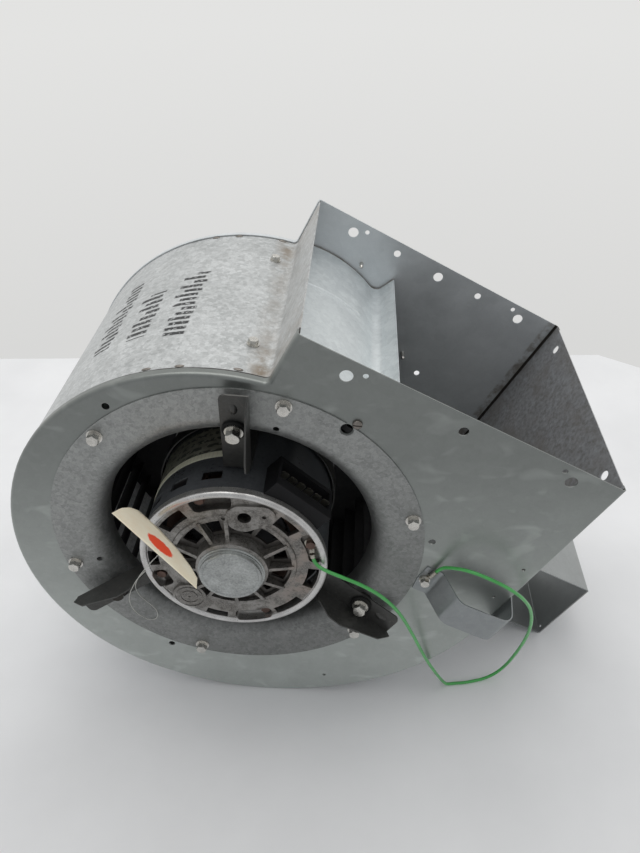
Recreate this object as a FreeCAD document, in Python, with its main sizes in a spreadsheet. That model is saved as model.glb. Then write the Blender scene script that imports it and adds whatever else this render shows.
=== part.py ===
"""Direct-drive centrifugal blower: scroll housing, squirrel-cage wheel and belly-band motor.

Frame: origin on the wheel axis in the outer face of the motor-side plate, +X to the right,
+Y along the axis into the housing, +Z up.  The housing stands as it rests on a bench, its outlet
tilted about the wheel axis.  Housing pieces are drawn in a square frame whose +Z is the air
direction, and each of them is then turned by that tilt.  All sizes are in millimetres.
"""
import FreeCAD, Part
import math
import os
import Sketcher
from FreeCAD import Placement, Rotation, Vector

SIZES = {
    # scroll housing, in the square frame
    "outlet_tilt": 27.5,
    "housing_width": 237.0,
    "sheet": 1.0,
    "rim_radius": 3.0,
    "rim_depth": 7.0,
    "outlet_height": 187.7,
    "outlet_back": 41.6,
    "outlet_front": 219.0,
    "scroll_radius_a": 160.0,
    "scroll_radius_b": 177.6,
    "scroll_radius_c": 218.5,
    "scroll_radius_d": 197.0,
    "scroll_rise": 14.0,
    "wrapper_sheet": 0.9,
    "wrapper_bend": 4.0,
    "plate_opening": 131.0,
    "hanger_circle": 149.6,
    "hanger_hole": 2.75,
    # cutoff
    "cutoff_arc": 120.0,
    "cutoff_lip": 13.5,
    "rib_place": 157.0,
    "rib_radius": 3.0,
    # inlet rings
    "ring_radius": 144.0,
    "ring_bell": 16.0,
    "throat_radius": 104.0,
    "throat_lip": 6.0,
    "ring_screw_circle": 137.0,
    # wheel
    "wheel_radius": 127.0,
    "blade_inner": 109.0,
    "wheel_start": 17.5,
    "wheel_length": 202.0,
    "blade_count": 43,
    "blade_sheet": 0.6,
    "disc_sheet": 1.6,
    "shaft_radius": 6.35,
    # motor
    "shell_radius": 70.2,
    "shell_wall": 1.2,
    "shell_front": 16.0,
    "shell_back": 95.0,
    "bell_radius": 71.0,
    "bolt_circle": 62.0,
    "core_front": 15.0,
    "core_back": 65.0,
    "air_gap": 0.4,
    "rotor_radius": 40.0,
    "arm_width": 20.0,
    "arm_sheet": 1.2,
    "foot_slope": 12.2,
    "arm_screw_circle": 115.0,
    # bracket, strap and wire
    "bracket_front": 78.0,
    "bracket_back": 159.0,
    "bracket_reach": 340.0,
    "bracket_top": 30.7,
    "bracket_sheet": 1.2,
    "strap_sheet": 1.0,
    "wire_radius": 1.4,
}

NOTCH = (139.9, 54.0)
NOTCH_SCREW = (147.7, 52.8)
RING_SCREW_ANGLES = [13 + 60 * turn for turn in range(6)]
ARM_ANGLES = {"top": 86.5, "left": 208, "right": 328}
BOLT_ANGLES = [20 + 90 * turn for turn in range(4)]
BRACKET_SCREW_Y = (100.0, 138.0)
BRACKET_SCREW_Z = 22.0
AXIS = Vector(0, 1, 0)

doc = FreeCAD.newDocument("blower")
sheet = doc.addObject("Spreadsheet::Sheet", "Dims")
parts = []


class Size:
    """A number together with the spreadsheet rule it comes from."""

    def __init__(self, value, rule):
        self.value = value
        self.rule = rule

    def join(self, other, sign, value):
        rule = other.rule if isinstance(other, Size) else repr(float(other))
        return Size(value, f"({self.rule} {sign} {rule})")

    def __add__(self, other):
        return self.join(other, "+", self.value + number(other))

    def __sub__(self, other):
        return self.join(other, "-", self.value - number(other))

    def __mul__(self, other):
        return self.join(other, "*", self.value * number(other))

    def __neg__(self):
        return self * -1


class Dims:
    """Reads the sheet: D.sheet is that cell's Size."""

    def __getattr__(self, name):
        return Size(float(sheet.get(name)), f"Dims.{name}")


D = Dims()


def number(size):
    return size.value if isinstance(size, Size) else float(size)


def bind(target, prop, size):
    """Give a property its value, and its rule where it has one."""
    setattr(target, prop, number(size))
    if isinstance(size, Size):
        target.setExpression(prop, size.rule)


def fill_sheet():
    for row, (name, value) in enumerate(SIZES.items(), start=1):
        sheet.set(f"A{row}", name)
        sheet.set(f"B{row}", str(value))
        sheet.setAlias(f"B{row}", name)
    doc.recompute()


# ---- plane geometry -------------------------------------------------------------------------

def polar(radius, degrees):
    turn = math.radians(degrees)
    return number(radius) * math.cos(turn), number(radius) * math.sin(turn)


def turned_place(degrees):
    """Placement that turns a piece about the wheel axis, from +X towards +Z."""
    return Placement(Vector(), Rotation(AXIS, -degrees))


def tilt():
    return turned_place(-number(D.outlet_tilt))


def to_square(degrees):
    """Angle in the housing's square frame of a direction given in the standing frame."""
    return degrees + number(D.outlet_tilt)


class Path:
    """Straight runs (length,) and bends (radius, degrees), a positive bend turning left."""

    def __init__(self, start, heading, moves):
        self.start = start
        self.heading = heading
        self.moves = moves

    def edges(self, side=0.0):
        """Curves of the path moved to its left by side, and its two end points."""
        x, z = self.start
        heading = math.radians(self.heading)
        first = self.shifted(x, z, heading, side)
        last = first
        curves = []
        for move in self.moves:
            if len(move) == 1:
                x += move[0] * math.cos(heading)
                z += move[0] * math.sin(heading)
                point = self.shifted(x, z, heading, side)
                curves.append(Part.LineSegment(last, point))
            else:
                radius, degrees = move
                sign = math.copysign(1, degrees)
                cx = x - sign * radius * math.sin(heading)
                cz = z + sign * radius * math.cos(heading)
                angles = [heading + math.radians(degrees) * part for part in (0.5, 1)]
                spots = [(cx + sign * radius * math.sin(a), cz - sign * radius * math.cos(a)) for a in angles]
                middle = self.shifted(*spots[0], angles[0], side)
                x, z = spots[1]
                heading = angles[1]
                point = self.shifted(x, z, heading, side)
                curves.append(Part.Arc(last, middle, point))
            last = point
        return curves, first, last

    @staticmethod
    def shifted(x, z, heading, side):
        return Vector(x - side * math.sin(heading), z + side * math.cos(heading), 0)

    def strip(self, near, far):
        """Closed outline of the band between two sides of the path."""
        one, one_first, one_last = self.edges(near)
        two, two_first, two_last = self.edges(far)
        return one + two + [Part.LineSegment(one_last, two_last), Part.LineSegment(two_first, one_first)]


def sector(inner, outer, middle, spread):
    """Window outline between two radii, about an angle."""
    low, high = middle - spread / 2, middle + spread / 2
    spots = {(r, a): Vector(*polar(r, a), 0) for r in (inner, outer) for a in (low, middle, high)}
    return [
        Part.Arc(spots[inner, low], spots[inner, middle], spots[inner, high]),
        Part.LineSegment(spots[inner, high], spots[outer, high]),
        Part.Arc(spots[outer, high], spots[outer, middle], spots[outer, low]),
        Part.LineSegment(spots[outer, low], spots[inner, low]),
    ]


def face_of(curves):
    """Flat face in the XZ plane, from curves drawn as (x, z)."""
    edges = [curve.toShape() for curve in curves]
    face = Part.Face(Part.Wire(Part.__sortEdges__(edges)))
    face.rotate(Vector(), Vector(1, 0, 0), 90)
    return face


def slab(curves, low, high):
    """Solid with that outline in XZ, between two heights along Y."""
    face = face_of(curves)
    face.translate(Vector(0, low, 0))
    return face.extrude(Vector(0, high - low, 0))


# ---- document objects -----------------------------------------------------------------------

def new_body(label, tilted=False):
    body = doc.addObject("PartDesign::Body", label)
    body.Label = label
    body.Placement = tilt() if tilted else Placement()
    if tilted:
        body.setExpression(".Placement.Rotation.Angle", "Dims.outlet_tilt * 1 deg")
    parts.append(body)
    return body


def new_feature(label, shape, place=None):
    feature = doc.addObject("Part::Feature", label)
    feature.Label = label
    feature.Shape = shape
    feature.Placement = place or shape.Placement
    parts.append(feature)
    return feature


def group(label, solids):
    """One node of several separate solids."""
    return new_feature(label, Part.makeCompound(solids))


def sketch_on(body, role, curves=(), offset=0.0):
    """Sketch on the body's own origin plane; XZ sketches are offset along +Y."""
    sketch = body.newObject("Sketcher::SketchObject", body.Label + "_sketch")
    plane = [item for item in body.Origin.OriginFeatures if item.Role == role][0]
    sketch.AttachmentSupport = [(plane, "")]
    sketch.MapMode = "FlatFace"
    drop = -offset if role == "XZ_Plane" else offset
    sketch.AttachmentOffset = Placement(Vector(0, 0, drop), Rotation())
    if curves:
        sketch.addGeometry(list(curves), False)
    return sketch


def fix_point(sketch, edge, spot, corner):
    """Hold one end of an edge at a corner's two sizes."""
    for kind, size in zip(("DistanceX", "DistanceY"), corner):
        index = sketch.addConstraint(Sketcher.Constraint(kind, -1, 1, edge, spot, number(size)))
        if isinstance(size, Size):
            sketch.setExpression(f"Constraints[{index}]", size.rule)


def polygon(body, role, corners):
    """Closed sketch through corners whose coordinates are held by the sheet."""
    points = [Vector(number(x), number(y), 0) for x, y in corners]
    ends = points[1:] + points[:1]
    sketch = sketch_on(body, role, [Part.LineSegment(a, b) for a, b in zip(points, ends)])
    for edge, corner in enumerate(corners):
        following = (edge + 1) % len(corners)
        sketch.addConstraint(Sketcher.Constraint("Coincident", edge, 2, following, 1))
        fix_point(sketch, edge, 1, corner)
    return sketch


def revolve(body, sketch):
    turned = body.newObject("PartDesign::Revolution", body.Label + "_turned")
    turned.Profile = sketch
    turned.ReferenceAxis = (sketch, ["V_Axis"])
    turned.Angle = 360
    body.Tip = turned
    return turned


def turned_body(label, corners):
    """Body of revolution about the wheel axis from (radius, y) corners."""
    body = new_body(label)
    revolve(body, polygon(body, "XY_Plane", corners))
    return body


def pad(body, sketch, length, towards=1):
    """Extrude a sketch; an XZ sketch grows along +Y for towards=1."""
    extrusion = body.newObject("PartDesign::Pad", body.Label + "_pad")
    extrusion.Profile = sketch
    bind(extrusion, "Length", length)
    extrusion.Reversed = towards > 0
    body.Tip = extrusion
    return extrusion


def circle_sketch(body, circles, offset=0.0):
    """Round holes (x, z, radius) on the XZ plane, each radius held by its size."""
    curves = [Part.Circle(Vector(x, z, 0), Vector(0, 0, 1), number(radius)) for x, z, radius in circles]
    sketch = sketch_on(body, "XZ_Plane", curves, offset)
    for index, (x, z, radius) in enumerate(circles):
        place = sketch.addConstraint(Sketcher.Constraint("Radius", index, number(radius)))
        if isinstance(radius, Size):
            sketch.setExpression(f"Constraints[{place}]", radius.rule)
    return sketch


def cut_through(body, sketch):
    """Pocket through the whole body both ways along Y; stop if it cuts nothing."""
    doc.recompute()
    before = body.Shape.Volume
    pocket = body.newObject("PartDesign::Pocket", body.Label + "_holes")
    pocket.Profile = sketch
    pocket.Type = "ThroughAll"
    pocket.Midplane = True
    body.Tip = pocket
    doc.recompute()
    if body.Shape.Volume > before - 0.01:
        raise RuntimeError(body.Label + ": the holes cut nothing")
    return pocket


def drill(body, role, circles, start, depth):
    """Round holes (u, v, radius) cut from a plane parallel to role, towards its positive side."""
    doc.recompute()
    before = body.Shape.Volume
    curves = [Part.Circle(Vector(u, v, 0), Vector(0, 0, 1), radius) for u, v, radius in circles]
    pocket = body.newObject("PartDesign::Pocket", body.Label + "_drilled")
    pocket.Profile = sketch_on(body, role, curves, start)
    pocket.Length = depth
    pocket.Reversed = True
    body.Tip = pocket
    doc.recompute()
    if body.Shape.Volume > before - 0.5:
        raise RuntimeError(body.Label + ": the drilling cut nothing")


# ---- small hardware -------------------------------------------------------------------------

def hexagon(across_flats):
    corner = across_flats / math.sqrt(3)
    spots = [Vector(*polar(corner, 60 * turn), 0) for turn in range(6)]
    return [Part.LineSegment(spots[turn], spots[(turn + 1) % 6]) for turn in range(6)]


def hex_screw(across, tall, washer, shank, length, washer_thick=1.0):
    """Hex washer-head screw: seat at y = 0, head towards -Y, shank towards +Y."""
    flange = Part.makeCylinder(washer, washer_thick, Vector(0, -washer_thick, 0), AXIS)
    head = slab(hexagon(across), -washer_thick - tall, -washer_thick)
    crown = Part.makeCone(across * 0.5, across * 0.5 + tall, tall, Vector(0, -washer_thick - tall, 0), AXIS)
    head = head.common(crown)
    stem = Part.makeCylinder(shank, length - shank, Vector(), AXIS)
    point = Part.makeCone(shank, shank * 0.25, shank, Vector(0, length - shank, 0), AXIS)
    return flange.fuse([head, stem, point]).removeSplitter()


def placed(shape, x, y, z, spin=0.0):
    copy = shape.copy()
    copy.rotate(Vector(), AXIS, spin)
    copy.translate(Vector(x, y, z))
    return copy


def flipped(shape, y):
    """The same screw driven from the far side, towards -Y, with its seat at y."""
    copy = shape.copy()
    copy.rotate(Vector(), Vector(0, 0, 1), 180)
    copy.translate(Vector(0, y, 0))
    return copy


# ---- scroll housing -------------------------------------------------------------------------

def scroll_centres():
    """Centres of the scroll's four tangent arcs, first to last."""
    radii = [number(D.scroll_radius_a), number(D.scroll_radius_b),
             number(D.scroll_radius_c), number(D.scroll_radius_d)]
    centres = [(number(D.outlet_front) - radii[3], number(D.scroll_rise))]
    for inner, outer, joint in zip(radii[2::-1], radii[:0:-1], (320, 270, 180)):
        dx, dz = polar(outer - inner, joint)
        centres.insert(0, (centres[0][0] + dx, centres[0][1] + dz))
    return radii, centres


def fold_centre():
    """Centre of the bend between the scroll and the upturned outlet wall."""
    radii, centres = scroll_centres()
    bend = number(D.wrapper_bend)
    x = -number(D.outlet_back) - bend
    reach = radii[0] + bend
    z = centres[0][1] + math.sqrt(reach ** 2 - (x - centres[0][0]) ** 2)
    return x, z


def housing_path():
    """Outline from the top of the back outlet wall, round the scroll, to the top of the front wall."""
    radii, centres = scroll_centres()
    fold_x, fold_z = fold_centre()
    entry = math.degrees(math.atan2(fold_z - centres[0][1], fold_x - centres[0][0]))
    height = number(D.outlet_height)
    moves = [
        (height - fold_z,),
        (number(D.wrapper_bend), entry - 180),
        (radii[0], 180 - entry),
        (radii[1], 90),
        (radii[2], 50),
        (radii[3], 40),
        (height - number(D.scroll_rise),),
    ]
    return Path((-number(D.outlet_back), height), -90, moves)


def bench_height():
    """Lowest level of the scroll, where the housing rests."""
    radii, centres = scroll_centres()
    lean = math.radians(number(D.outlet_tilt))
    x, z = centres[2]
    return -x * math.sin(lean) + z * math.cos(lean) - radii[2]


def outlet_holes(rear):
    """Fixing holes along the outlet edge: (x, z, radius) in the square frame."""
    large = [(x, 175.5, 4.6) for x in (0, 180)]
    small = [(x, 181.5, 2.0) for x in (11, 170)]
    middle = [(90, 175.5, 4.4), (45, 177, 3.2), (133, 177, 3.0)] if rear else [(90, 175.5, 3.6)]
    return large + small + middle


def plate_holes(rear):
    circles = [(0, 0, D.plate_opening)]
    for turn in range(3):
        circles.append((*polar(D.hanger_circle, to_square(3 + 120 * turn)), D.hanger_hole))
    circles += [(*polar(D.ring_screw_circle, to_square(angle)), 2.0) for angle in RING_SCREW_ANGLES]
    circles += outlet_holes(rear)
    if rear:
        circles.append((21.2, 152.5, 1.9))
    else:
        circles += [(138.3, -119.2, 1.5), (206.4, 85.9, 1.5), (205.4, 48.0, 1.5)]
        circles.append((*polar(NOTCH_SCREW[0], to_square(NOTCH_SCREW[1])), 2.1))
        circles.append((*polar(NOTCH[0], to_square(NOTCH[1])), 4.3))
        circles.append((146.0, 38.5, 2.0))
    return circles


def side_plate(label, outer, inward):
    """Flat scroll side with a rolled rim turned over the wrapper; open along the outlet edge."""
    body = new_body(label, tilted=True)
    outline, first, last = housing_path().edges()
    blank = sketch_on(body, "XZ_Plane", outline + [Part.LineSegment(last, first)], outer)
    base = pad(body, blank, D.rim_depth, inward)
    doc.recompute()
    top = number(D.outlet_height)
    corners = []
    for index, edge in enumerate(base.Shape.Edges, start=1):
        box = edge.BoundBox
        flat = abs(box.YMin - outer) < 1e-4 and abs(box.YMax - outer) < 1e-4
        if flat and not box.ZMin > top - 1e-4:
            corners.append(f"Edge{index}")
    rim = body.newObject("PartDesign::Fillet", label + "_rim")
    rim.Base = (base, corners)
    bind(rim, "Radius", D.rim_radius)
    body.Tip = rim
    doc.recompute()
    deep = outer + inward * number(D.rim_depth)
    open_faces = []
    for index, face in enumerate(rim.Shape.Faces, start=1):
        box = face.BoundBox
        back = abs(box.YMin - deep) < 1e-4 and abs(box.YMax - deep) < 1e-4
        if back or box.ZMin > top - 1e-4:
            open_faces.append(f"Face{index}")
    shell = body.newObject("PartDesign::Thickness", label + "_shell")
    shell.Base = (rim, open_faces)
    bind(shell, "Value", D.sheet)
    shell.Reversed = True
    shell.Join = "Arc"
    body.Tip = shell
    doc.recompute()
    cut_through(body, circle_sketch(body, plate_holes(label.endswith("rear"))))
    return body


def scroll_wrapper():
    """One strip of sheet: upturned outlet wall, scroll and straight front wall."""
    body = new_body("scroll_wrapper", tilted=True)
    outside = number(D.sheet) + 0.05
    outline = housing_path().strip(outside, outside + number(D.wrapper_sheet))
    inset = D.rim_radius + 0.1
    pad(body, sketch_on(body, "XZ_Plane", outline, number(inset)), D.housing_width - inset * 2)
    doc.recompute()
    drill(body, "XY_Plane", [(x, y, 2.1) for x, y, _, _ in wrapper_screw_places()], 100, 80)
    drill(body, "YZ_Plane", [(y, BRACKET_SCREW_Z, 1.7) for y in BRACKET_SCREW_Y], 210, 20)
    drill(body, "YZ_Plane", [(y, 176.8, 4.0) for y in (28.0, 208.0)], 210, 20)


def wrapper_wall():
    """Outer face of the wrapper's straight front wall."""
    return number(D.outlet_front) - number(D.sheet) - 0.05


def wrapper_screw_places():
    """Screws on the scroll just before the fold: (x, y, z, arc angle) in the square frame."""
    radii, centres = scroll_centres()
    cx, cz = centres[0]
    outside = radii[0] - number(D.sheet) - 0.05
    places = []
    for x, y in ((-56.5, 46.0), (-55.5, 186.0)):
        angle = math.acos((x - cx) / outside)
        places.append((x, y, cz + outside * math.sin(angle), math.degrees(angle)))
    return places


def cutoff_path():
    """Foot under the wrapper, joggle, arc over the wheel, trough and lip."""
    radii, centres = scroll_centres()
    cx, cz = centres[0]
    under = radii[0] - 2.5
    rise = 22.9
    start_x = -62.0
    start_angle = math.degrees(math.acos((start_x - cx) / under))
    bend = 3.0
    foot_end = math.degrees(math.acos((-46.5 - cx) / under))
    start = (start_x, cz + under * math.sin(math.radians(start_angle)))
    foot_heading = foot_end - 90
    arc = number(D.cutoff_arc)
    moves = [
        (under, -(start_angle - foot_end)),
        (bend, rise - foot_heading),
        (16.5,),
        (bend, -(rise - 9.0)),
        (arc, -33.5),
        (8.0, 90.5),
        (number(D.cutoff_lip),),
    ]
    return Path(start, start_angle - 90, moves)


def cutoff_plate():
    """Bent cutoff sheet with one stamped rib across part of its arc."""
    path = cutoff_path()
    inset = number(D.sheet) + 0.7
    band = slab(path.strip(0, -0.9), inset, number(D.housing_width) - inset)
    centre = path.edges()[0][4].toShape().Curve.Center
    axis_point = Vector(centre.x, number(D.rib_place), centre.y)
    arc = number(D.cutoff_arc)
    start = Part.makeCircle(number(D.rib_radius), Vector(arc - 1.9, 0, 0), Vector(0, 0, 1))
    rib = Part.Face(Part.Wire([start])).revolve(Vector(), AXIS, -26)
    rib.rotate(Vector(), AXIS, -72)
    rib.translate(axis_point)
    hollow = Part.makeCylinder(arc - 0.5, 20, axis_point - AXIS * 10, AXIS)
    cuts = []
    for x, y, z, angle in wrapper_screw_places():
        bit = Part.makeCylinder(1.7, 20, Vector(0, 0, -10), Vector(0, 0, 1))
        cuts.append(placed(bit, x, y, z, 90 - angle))
    plate = band.fuse(rib.cut(hollow)).cut(cuts).removeSplitter()
    new_feature("cutoff_plate", plate, tilt())


def inlet_ring(label, outer, inward, holes):
    """Pressed ring: flat flange on the plate, bell mouth and short throat lip."""
    body = new_body(label)
    start = (number(D.ring_radius), outer - inward * number(D.sheet))
    flat = number(D.ring_radius - D.throat_radius - D.ring_bell)
    moves = [(flat,), (number(D.ring_bell), -90 * inward), (number(D.throat_lip),)]
    outline = Path(start, 180, moves).strip(0, -inward * number(D.sheet))
    revolve(body, sketch_on(body, "XY_Plane", outline))
    cut_through(body, circle_sketch(body, holes))
    return body


def ring_screw_holes():
    return [(*polar(D.ring_screw_circle, angle), 2.0) for angle in RING_SCREW_ANGLES]


def front_ring_holes():
    arms = [(*polar(D.arm_screw_circle + 1.2, angle), 3.2) for angle in ARM_ANGLES.values()]
    pilot = [(*polar(116.5, angle), 2.2) for angle in (73, 193, 313)]
    return ring_screw_holes() + arms + pilot + [(*polar(*NOTCH), 5.0)]


def housing_screws():
    screw = hex_screw(8.0, 5.6, 5.8, 1.9, 13.0)
    front = [placed(screw, x, -1.0, z, 15 * x) for x, z, _ in ring_screw_holes()]
    far = flipped(screw, number(D.housing_width) + 1.0)
    rear = [placed(far, x, 0, z, 11 * z) for x, z, _ in ring_screw_holes()]
    group("ring_screws_front", front)
    group("ring_screws_rear", rear)

    small = hex_screw(6.4, 3.5, 4.6, 1.5, 7.0)
    small.rotate(Vector(), Vector(1, 0, 0), -90)
    driven = [placed(small, x, y, z, 90 - angle) for x, y, z, angle in wrapper_screw_places()]
    new_feature("wrapper_screws", Part.makeCompound(driven), tilt())


def notch_screw():
    """Slotted pan-head screw beside the ring's notch."""
    head = Part.makeCylinder(3.5, 2.4, Vector(0, -2.4, 0), AXIS)
    head = head.makeFillet(1.3, [edge for edge in head.Edges if abs(edge.BoundBox.YMax + 2.4) < 1e-6])
    slot = Part.makeBox(0.9, 1.3, 12, Vector(-0.45, -2.6, -6))
    slot.rotate(Vector(), AXIS, 94)
    stem = Part.makeCylinder(2.0, 9, Vector(), AXIS)
    x, z = polar(*NOTCH_SCREW)
    new_feature("notch_screw", placed(head.cut(slot).fuse(stem), x, 0, z))


# ---- wheel ----------------------------------------------------------------------------------

def end_ring(label, outer, inward):
    """Channel rim that the blade ends are crimped into."""
    thick = 1.2
    inner = D.blade_inner - 0.6
    return turned_body(label, [
        (inner, outer), (D.wheel_radius, outer), (D.wheel_radius, outer + 8.0 * inward),
        (D.wheel_radius - 0.9, outer + 8.0 * inward), (D.wheel_radius - 0.9, outer + thick * inward),
        (inner, outer + thick * inward),
    ])


def blade_set(label, low, high):
    """Forward-curved blades between an end ring and the centre disc."""
    path = Path((number(D.blade_inner), 0.0), -5, [(16.5, 65)])
    blade = slab(path.strip(0, number(D.blade_sheet)), low, high)
    count = int(number(D.blade_count))
    group(label, [placed(blade, 0, 0, 0, -360.0 / count * turn) for turn in range(count)])


def wheel():
    start = D.wheel_start
    end = D.wheel_start + D.wheel_length
    middle = number(start) + number(D.wheel_length) / 2
    half = number(D.disc_sheet) / 2
    end_ring("wheel_ring_front", start, 1)
    end_ring("wheel_ring_rear", end, -1)
    blade_set("wheel_blades_front", number(start) + 1.22, middle - half - 0.02)
    blade_set("wheel_blades_rear", middle + half + 0.02, number(end) - 1.22)
    low, high = middle - half, middle + half
    turned_body("wheel_centre_disc", [
        (13.1, low + 6), (46, low + 6), (56, low), (D.wheel_radius - 1.0, low),
        (D.wheel_radius - 1.0, high), (56.5, high), (46.5, high + 6), (13.1, high + 6),
    ])
    seat = high + 6.02
    hub = turned_body("wheel_hub", [
        (D.shaft_radius + 0.02, seat - 12), (13.0, seat - 12), (13.0, seat), (21, seat),
        (21, seat + 3), (14.5, seat + 3), (13.5, seat + 22), (D.shaft_radius + 0.02, seat + 22),
    ])
    set_screw_y = seat + 13
    bit = sketch_on(hub, "XY_Plane", [Part.Circle(Vector(0, set_screw_y, 0), Vector(0, 0, 1), 4.05)])
    bore = hub.newObject("PartDesign::Pocket", "set_screw_hole")
    bore.Profile = bit
    bore.Type = "ThroughAll"
    hub.Tip = bore
    doc.recompute()
    towards = 1 if hub.Shape.isInside(Vector(0, set_screw_y, 10), 0.1, True) else -1
    stem = Part.makeCylinder(4.0, 12.5, Vector(0, set_screw_y, -5.6 * towards), Vector(0, 0, -towards))
    head = Part.makeBox(8, 8, 6.5, Vector(-4, set_screw_y - 4, -3.25))
    head = head.makeFillet(0.6, head.Edges)
    head.translate(Vector(0, 0, -towards * (18.1 + 3.25)))
    new_feature("hub_set_screw", stem.fuse(head))
    return seat


def motor_shaft(hub_seat):
    """Ground shaft with a flat under the set screw."""
    body = new_body("motor_shaft")
    pad(body, circle_sketch(body, [(0, 0, D.shaft_radius)], -31.5), hub_seat + 26 + 31.5)
    doc.recompute()
    flat = sketch_on(body, "XZ_Plane", face_box(-8, 5.5, 8, 9), hub_seat - 2)
    cut = body.newObject("PartDesign::Pocket", "shaft_flats")
    cut.Profile = flat
    cut.Type = "ThroughAll"
    body.Tip = cut
    doc.recompute()
    if abs(body.Shape.BoundBox.YMax - hub_seat - 26) > 1:
        raise RuntimeError("the shaft ends at the wrong place")
    return body


def face_box(x0, z0, x1, z1):
    """Rectangles above and below the axis, as sketch lines."""
    lines = []
    for sign in (1, -1):
        spots = [Vector(x, sign * z, 0) for x, z in ((x0, z0), (x1, z0), (x1, z1), (x0, z1))]
        lines += [Part.LineSegment(spots[turn], spots[(turn + 1) % 4]) for turn in range(4)]
    return lines


# ---- motor ----------------------------------------------------------------------------------

def motor_shell():
    """Rolled steel band of the motor with vent windows near the front end."""
    outer = number(D.shell_radius)
    low, high = -number(D.shell_front), number(D.shell_back)
    tube = Part.makeCylinder(outer, high - low, Vector(0, low, 0), AXIS)
    tube = tube.cut(Part.makeCylinder(outer - number(D.shell_wall), high - low, Vector(0, low, 0), AXIS))
    windows = []
    for middle in (101, 123.5, 146, 281, 303.5, 326):
        box = Part.makeBox(8, 9, 15, Vector(outer - 4, -6, -7.5))
        windows.append(placed(box, 0, 0, 0, -middle))
    tube = tube.cut(windows)
    new_feature("motor_shell", tube)


def hull_outline(first, second):
    """Outline round two circles (x, z, radius) and the straight sides between them."""
    (x0, z0, r0), (x1, z1, r1) = first, second
    along = math.degrees(math.atan2(z1 - z0, x1 - x0))
    lean = math.degrees(math.acos((r0 - r1) / math.hypot(x1 - x0, z1 - z0)))

    def spot(x, z, radius, angle):
        dx, dz = polar(radius, angle)
        return Vector(x + dx, z + dz, 0)

    start, end = spot(x0, z0, r0, along + lean), spot(x0, z0, r0, along - lean)
    far_start, far_end = spot(x1, z1, r1, along - lean), spot(x1, z1, r1, along + lean)
    return [
        Part.Arc(start, spot(x0, z0, r0, along + 180), end),
        Part.LineSegment(end, far_start),
        Part.Arc(far_start, spot(x1, z1, r1, along), far_end),
        Part.LineSegment(far_end, start),
    ]


def rounded_sector(inner, outer, middle, spread, low, high, corner):
    """Ring-sector prism along Y with rounded upright edges."""
    block = slab(sector(inner, outer, middle, spread), low, high)
    upright = [edge for edge in block.Edges if edge.BoundBox.YLength > high - low - 0.01]
    return block.makeFillet(corner, upright)


BELL_WINDOWS = [
    (51, 61.5, 43.5, 18), (56.5, 65, 345.5, 20), (59.5, 65.5, 310, 23), (60.3, 65.5, 254, 15.5),
    (53, 62.5, 136, 23), (57, 65, 180, 14), (31, 41.5, 75, 26), (31, 42, 45, 22), (31, 41, 109, 15),
    (31, 42, 141, 20), (30.5, 41, 12, 15), (31, 41, 312, 14), (31, 42, 340, 18), (31, 41, 284, 17),
    (31, 41, 255, 15), (31, 41, 206, 18), (31, 41, 174, 15),
]
BELL_RIBS = (93, 120, 161, 190, 224, 240, 270, 298, 325, 357, 26)
BELL_POCKETS = [(54, 66.6, 102, 29), (54.5, 66.6, 201, 17), (57, 66.6, 281.5, 28)]


def bell_blank():
    """Turned form of the front bell: bearing hub, recessed web, face and rolled rim."""
    back = -number(D.shell_front)
    rim = number(D.bell_radius)
    corners = [(11.05, -13), (11.05, -30.8), (25.2, -30.8), (27.2, -29.6), (28.2, -19), (43.6, -18.6),
               (44.2, -22.2), (47.6, -22.2), (48.2, -21), (65.4, -21)]
    spots = [Vector(x, y, 0) for x, y in corners]
    crest, foot = Vector(68.4, -23.4, 0), Vector(rim, -20.2, 0)
    edges = [Part.LineSegment(a, b) for a, b in zip(spots, spots[1:])] + [Part.Arc(spots[-1], crest, foot)]
    inside = [(rim, back - 0.05), (68.9, back - 0.05), (68.9, back + 6), (66, back + 6), (64.5, -17),
              (15, -16.4), (15, -13), (11.05, -13)]
    spots = [foot] + [Vector(x, y, 0) for x, y in inside]
    edges += [Part.LineSegment(a, b) for a, b in zip(spots, spots[1:])]
    return Part.Face(Part.Wire([edge.toShape() for edge in edges])).revolve(Vector(), AXIS, 360)


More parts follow.
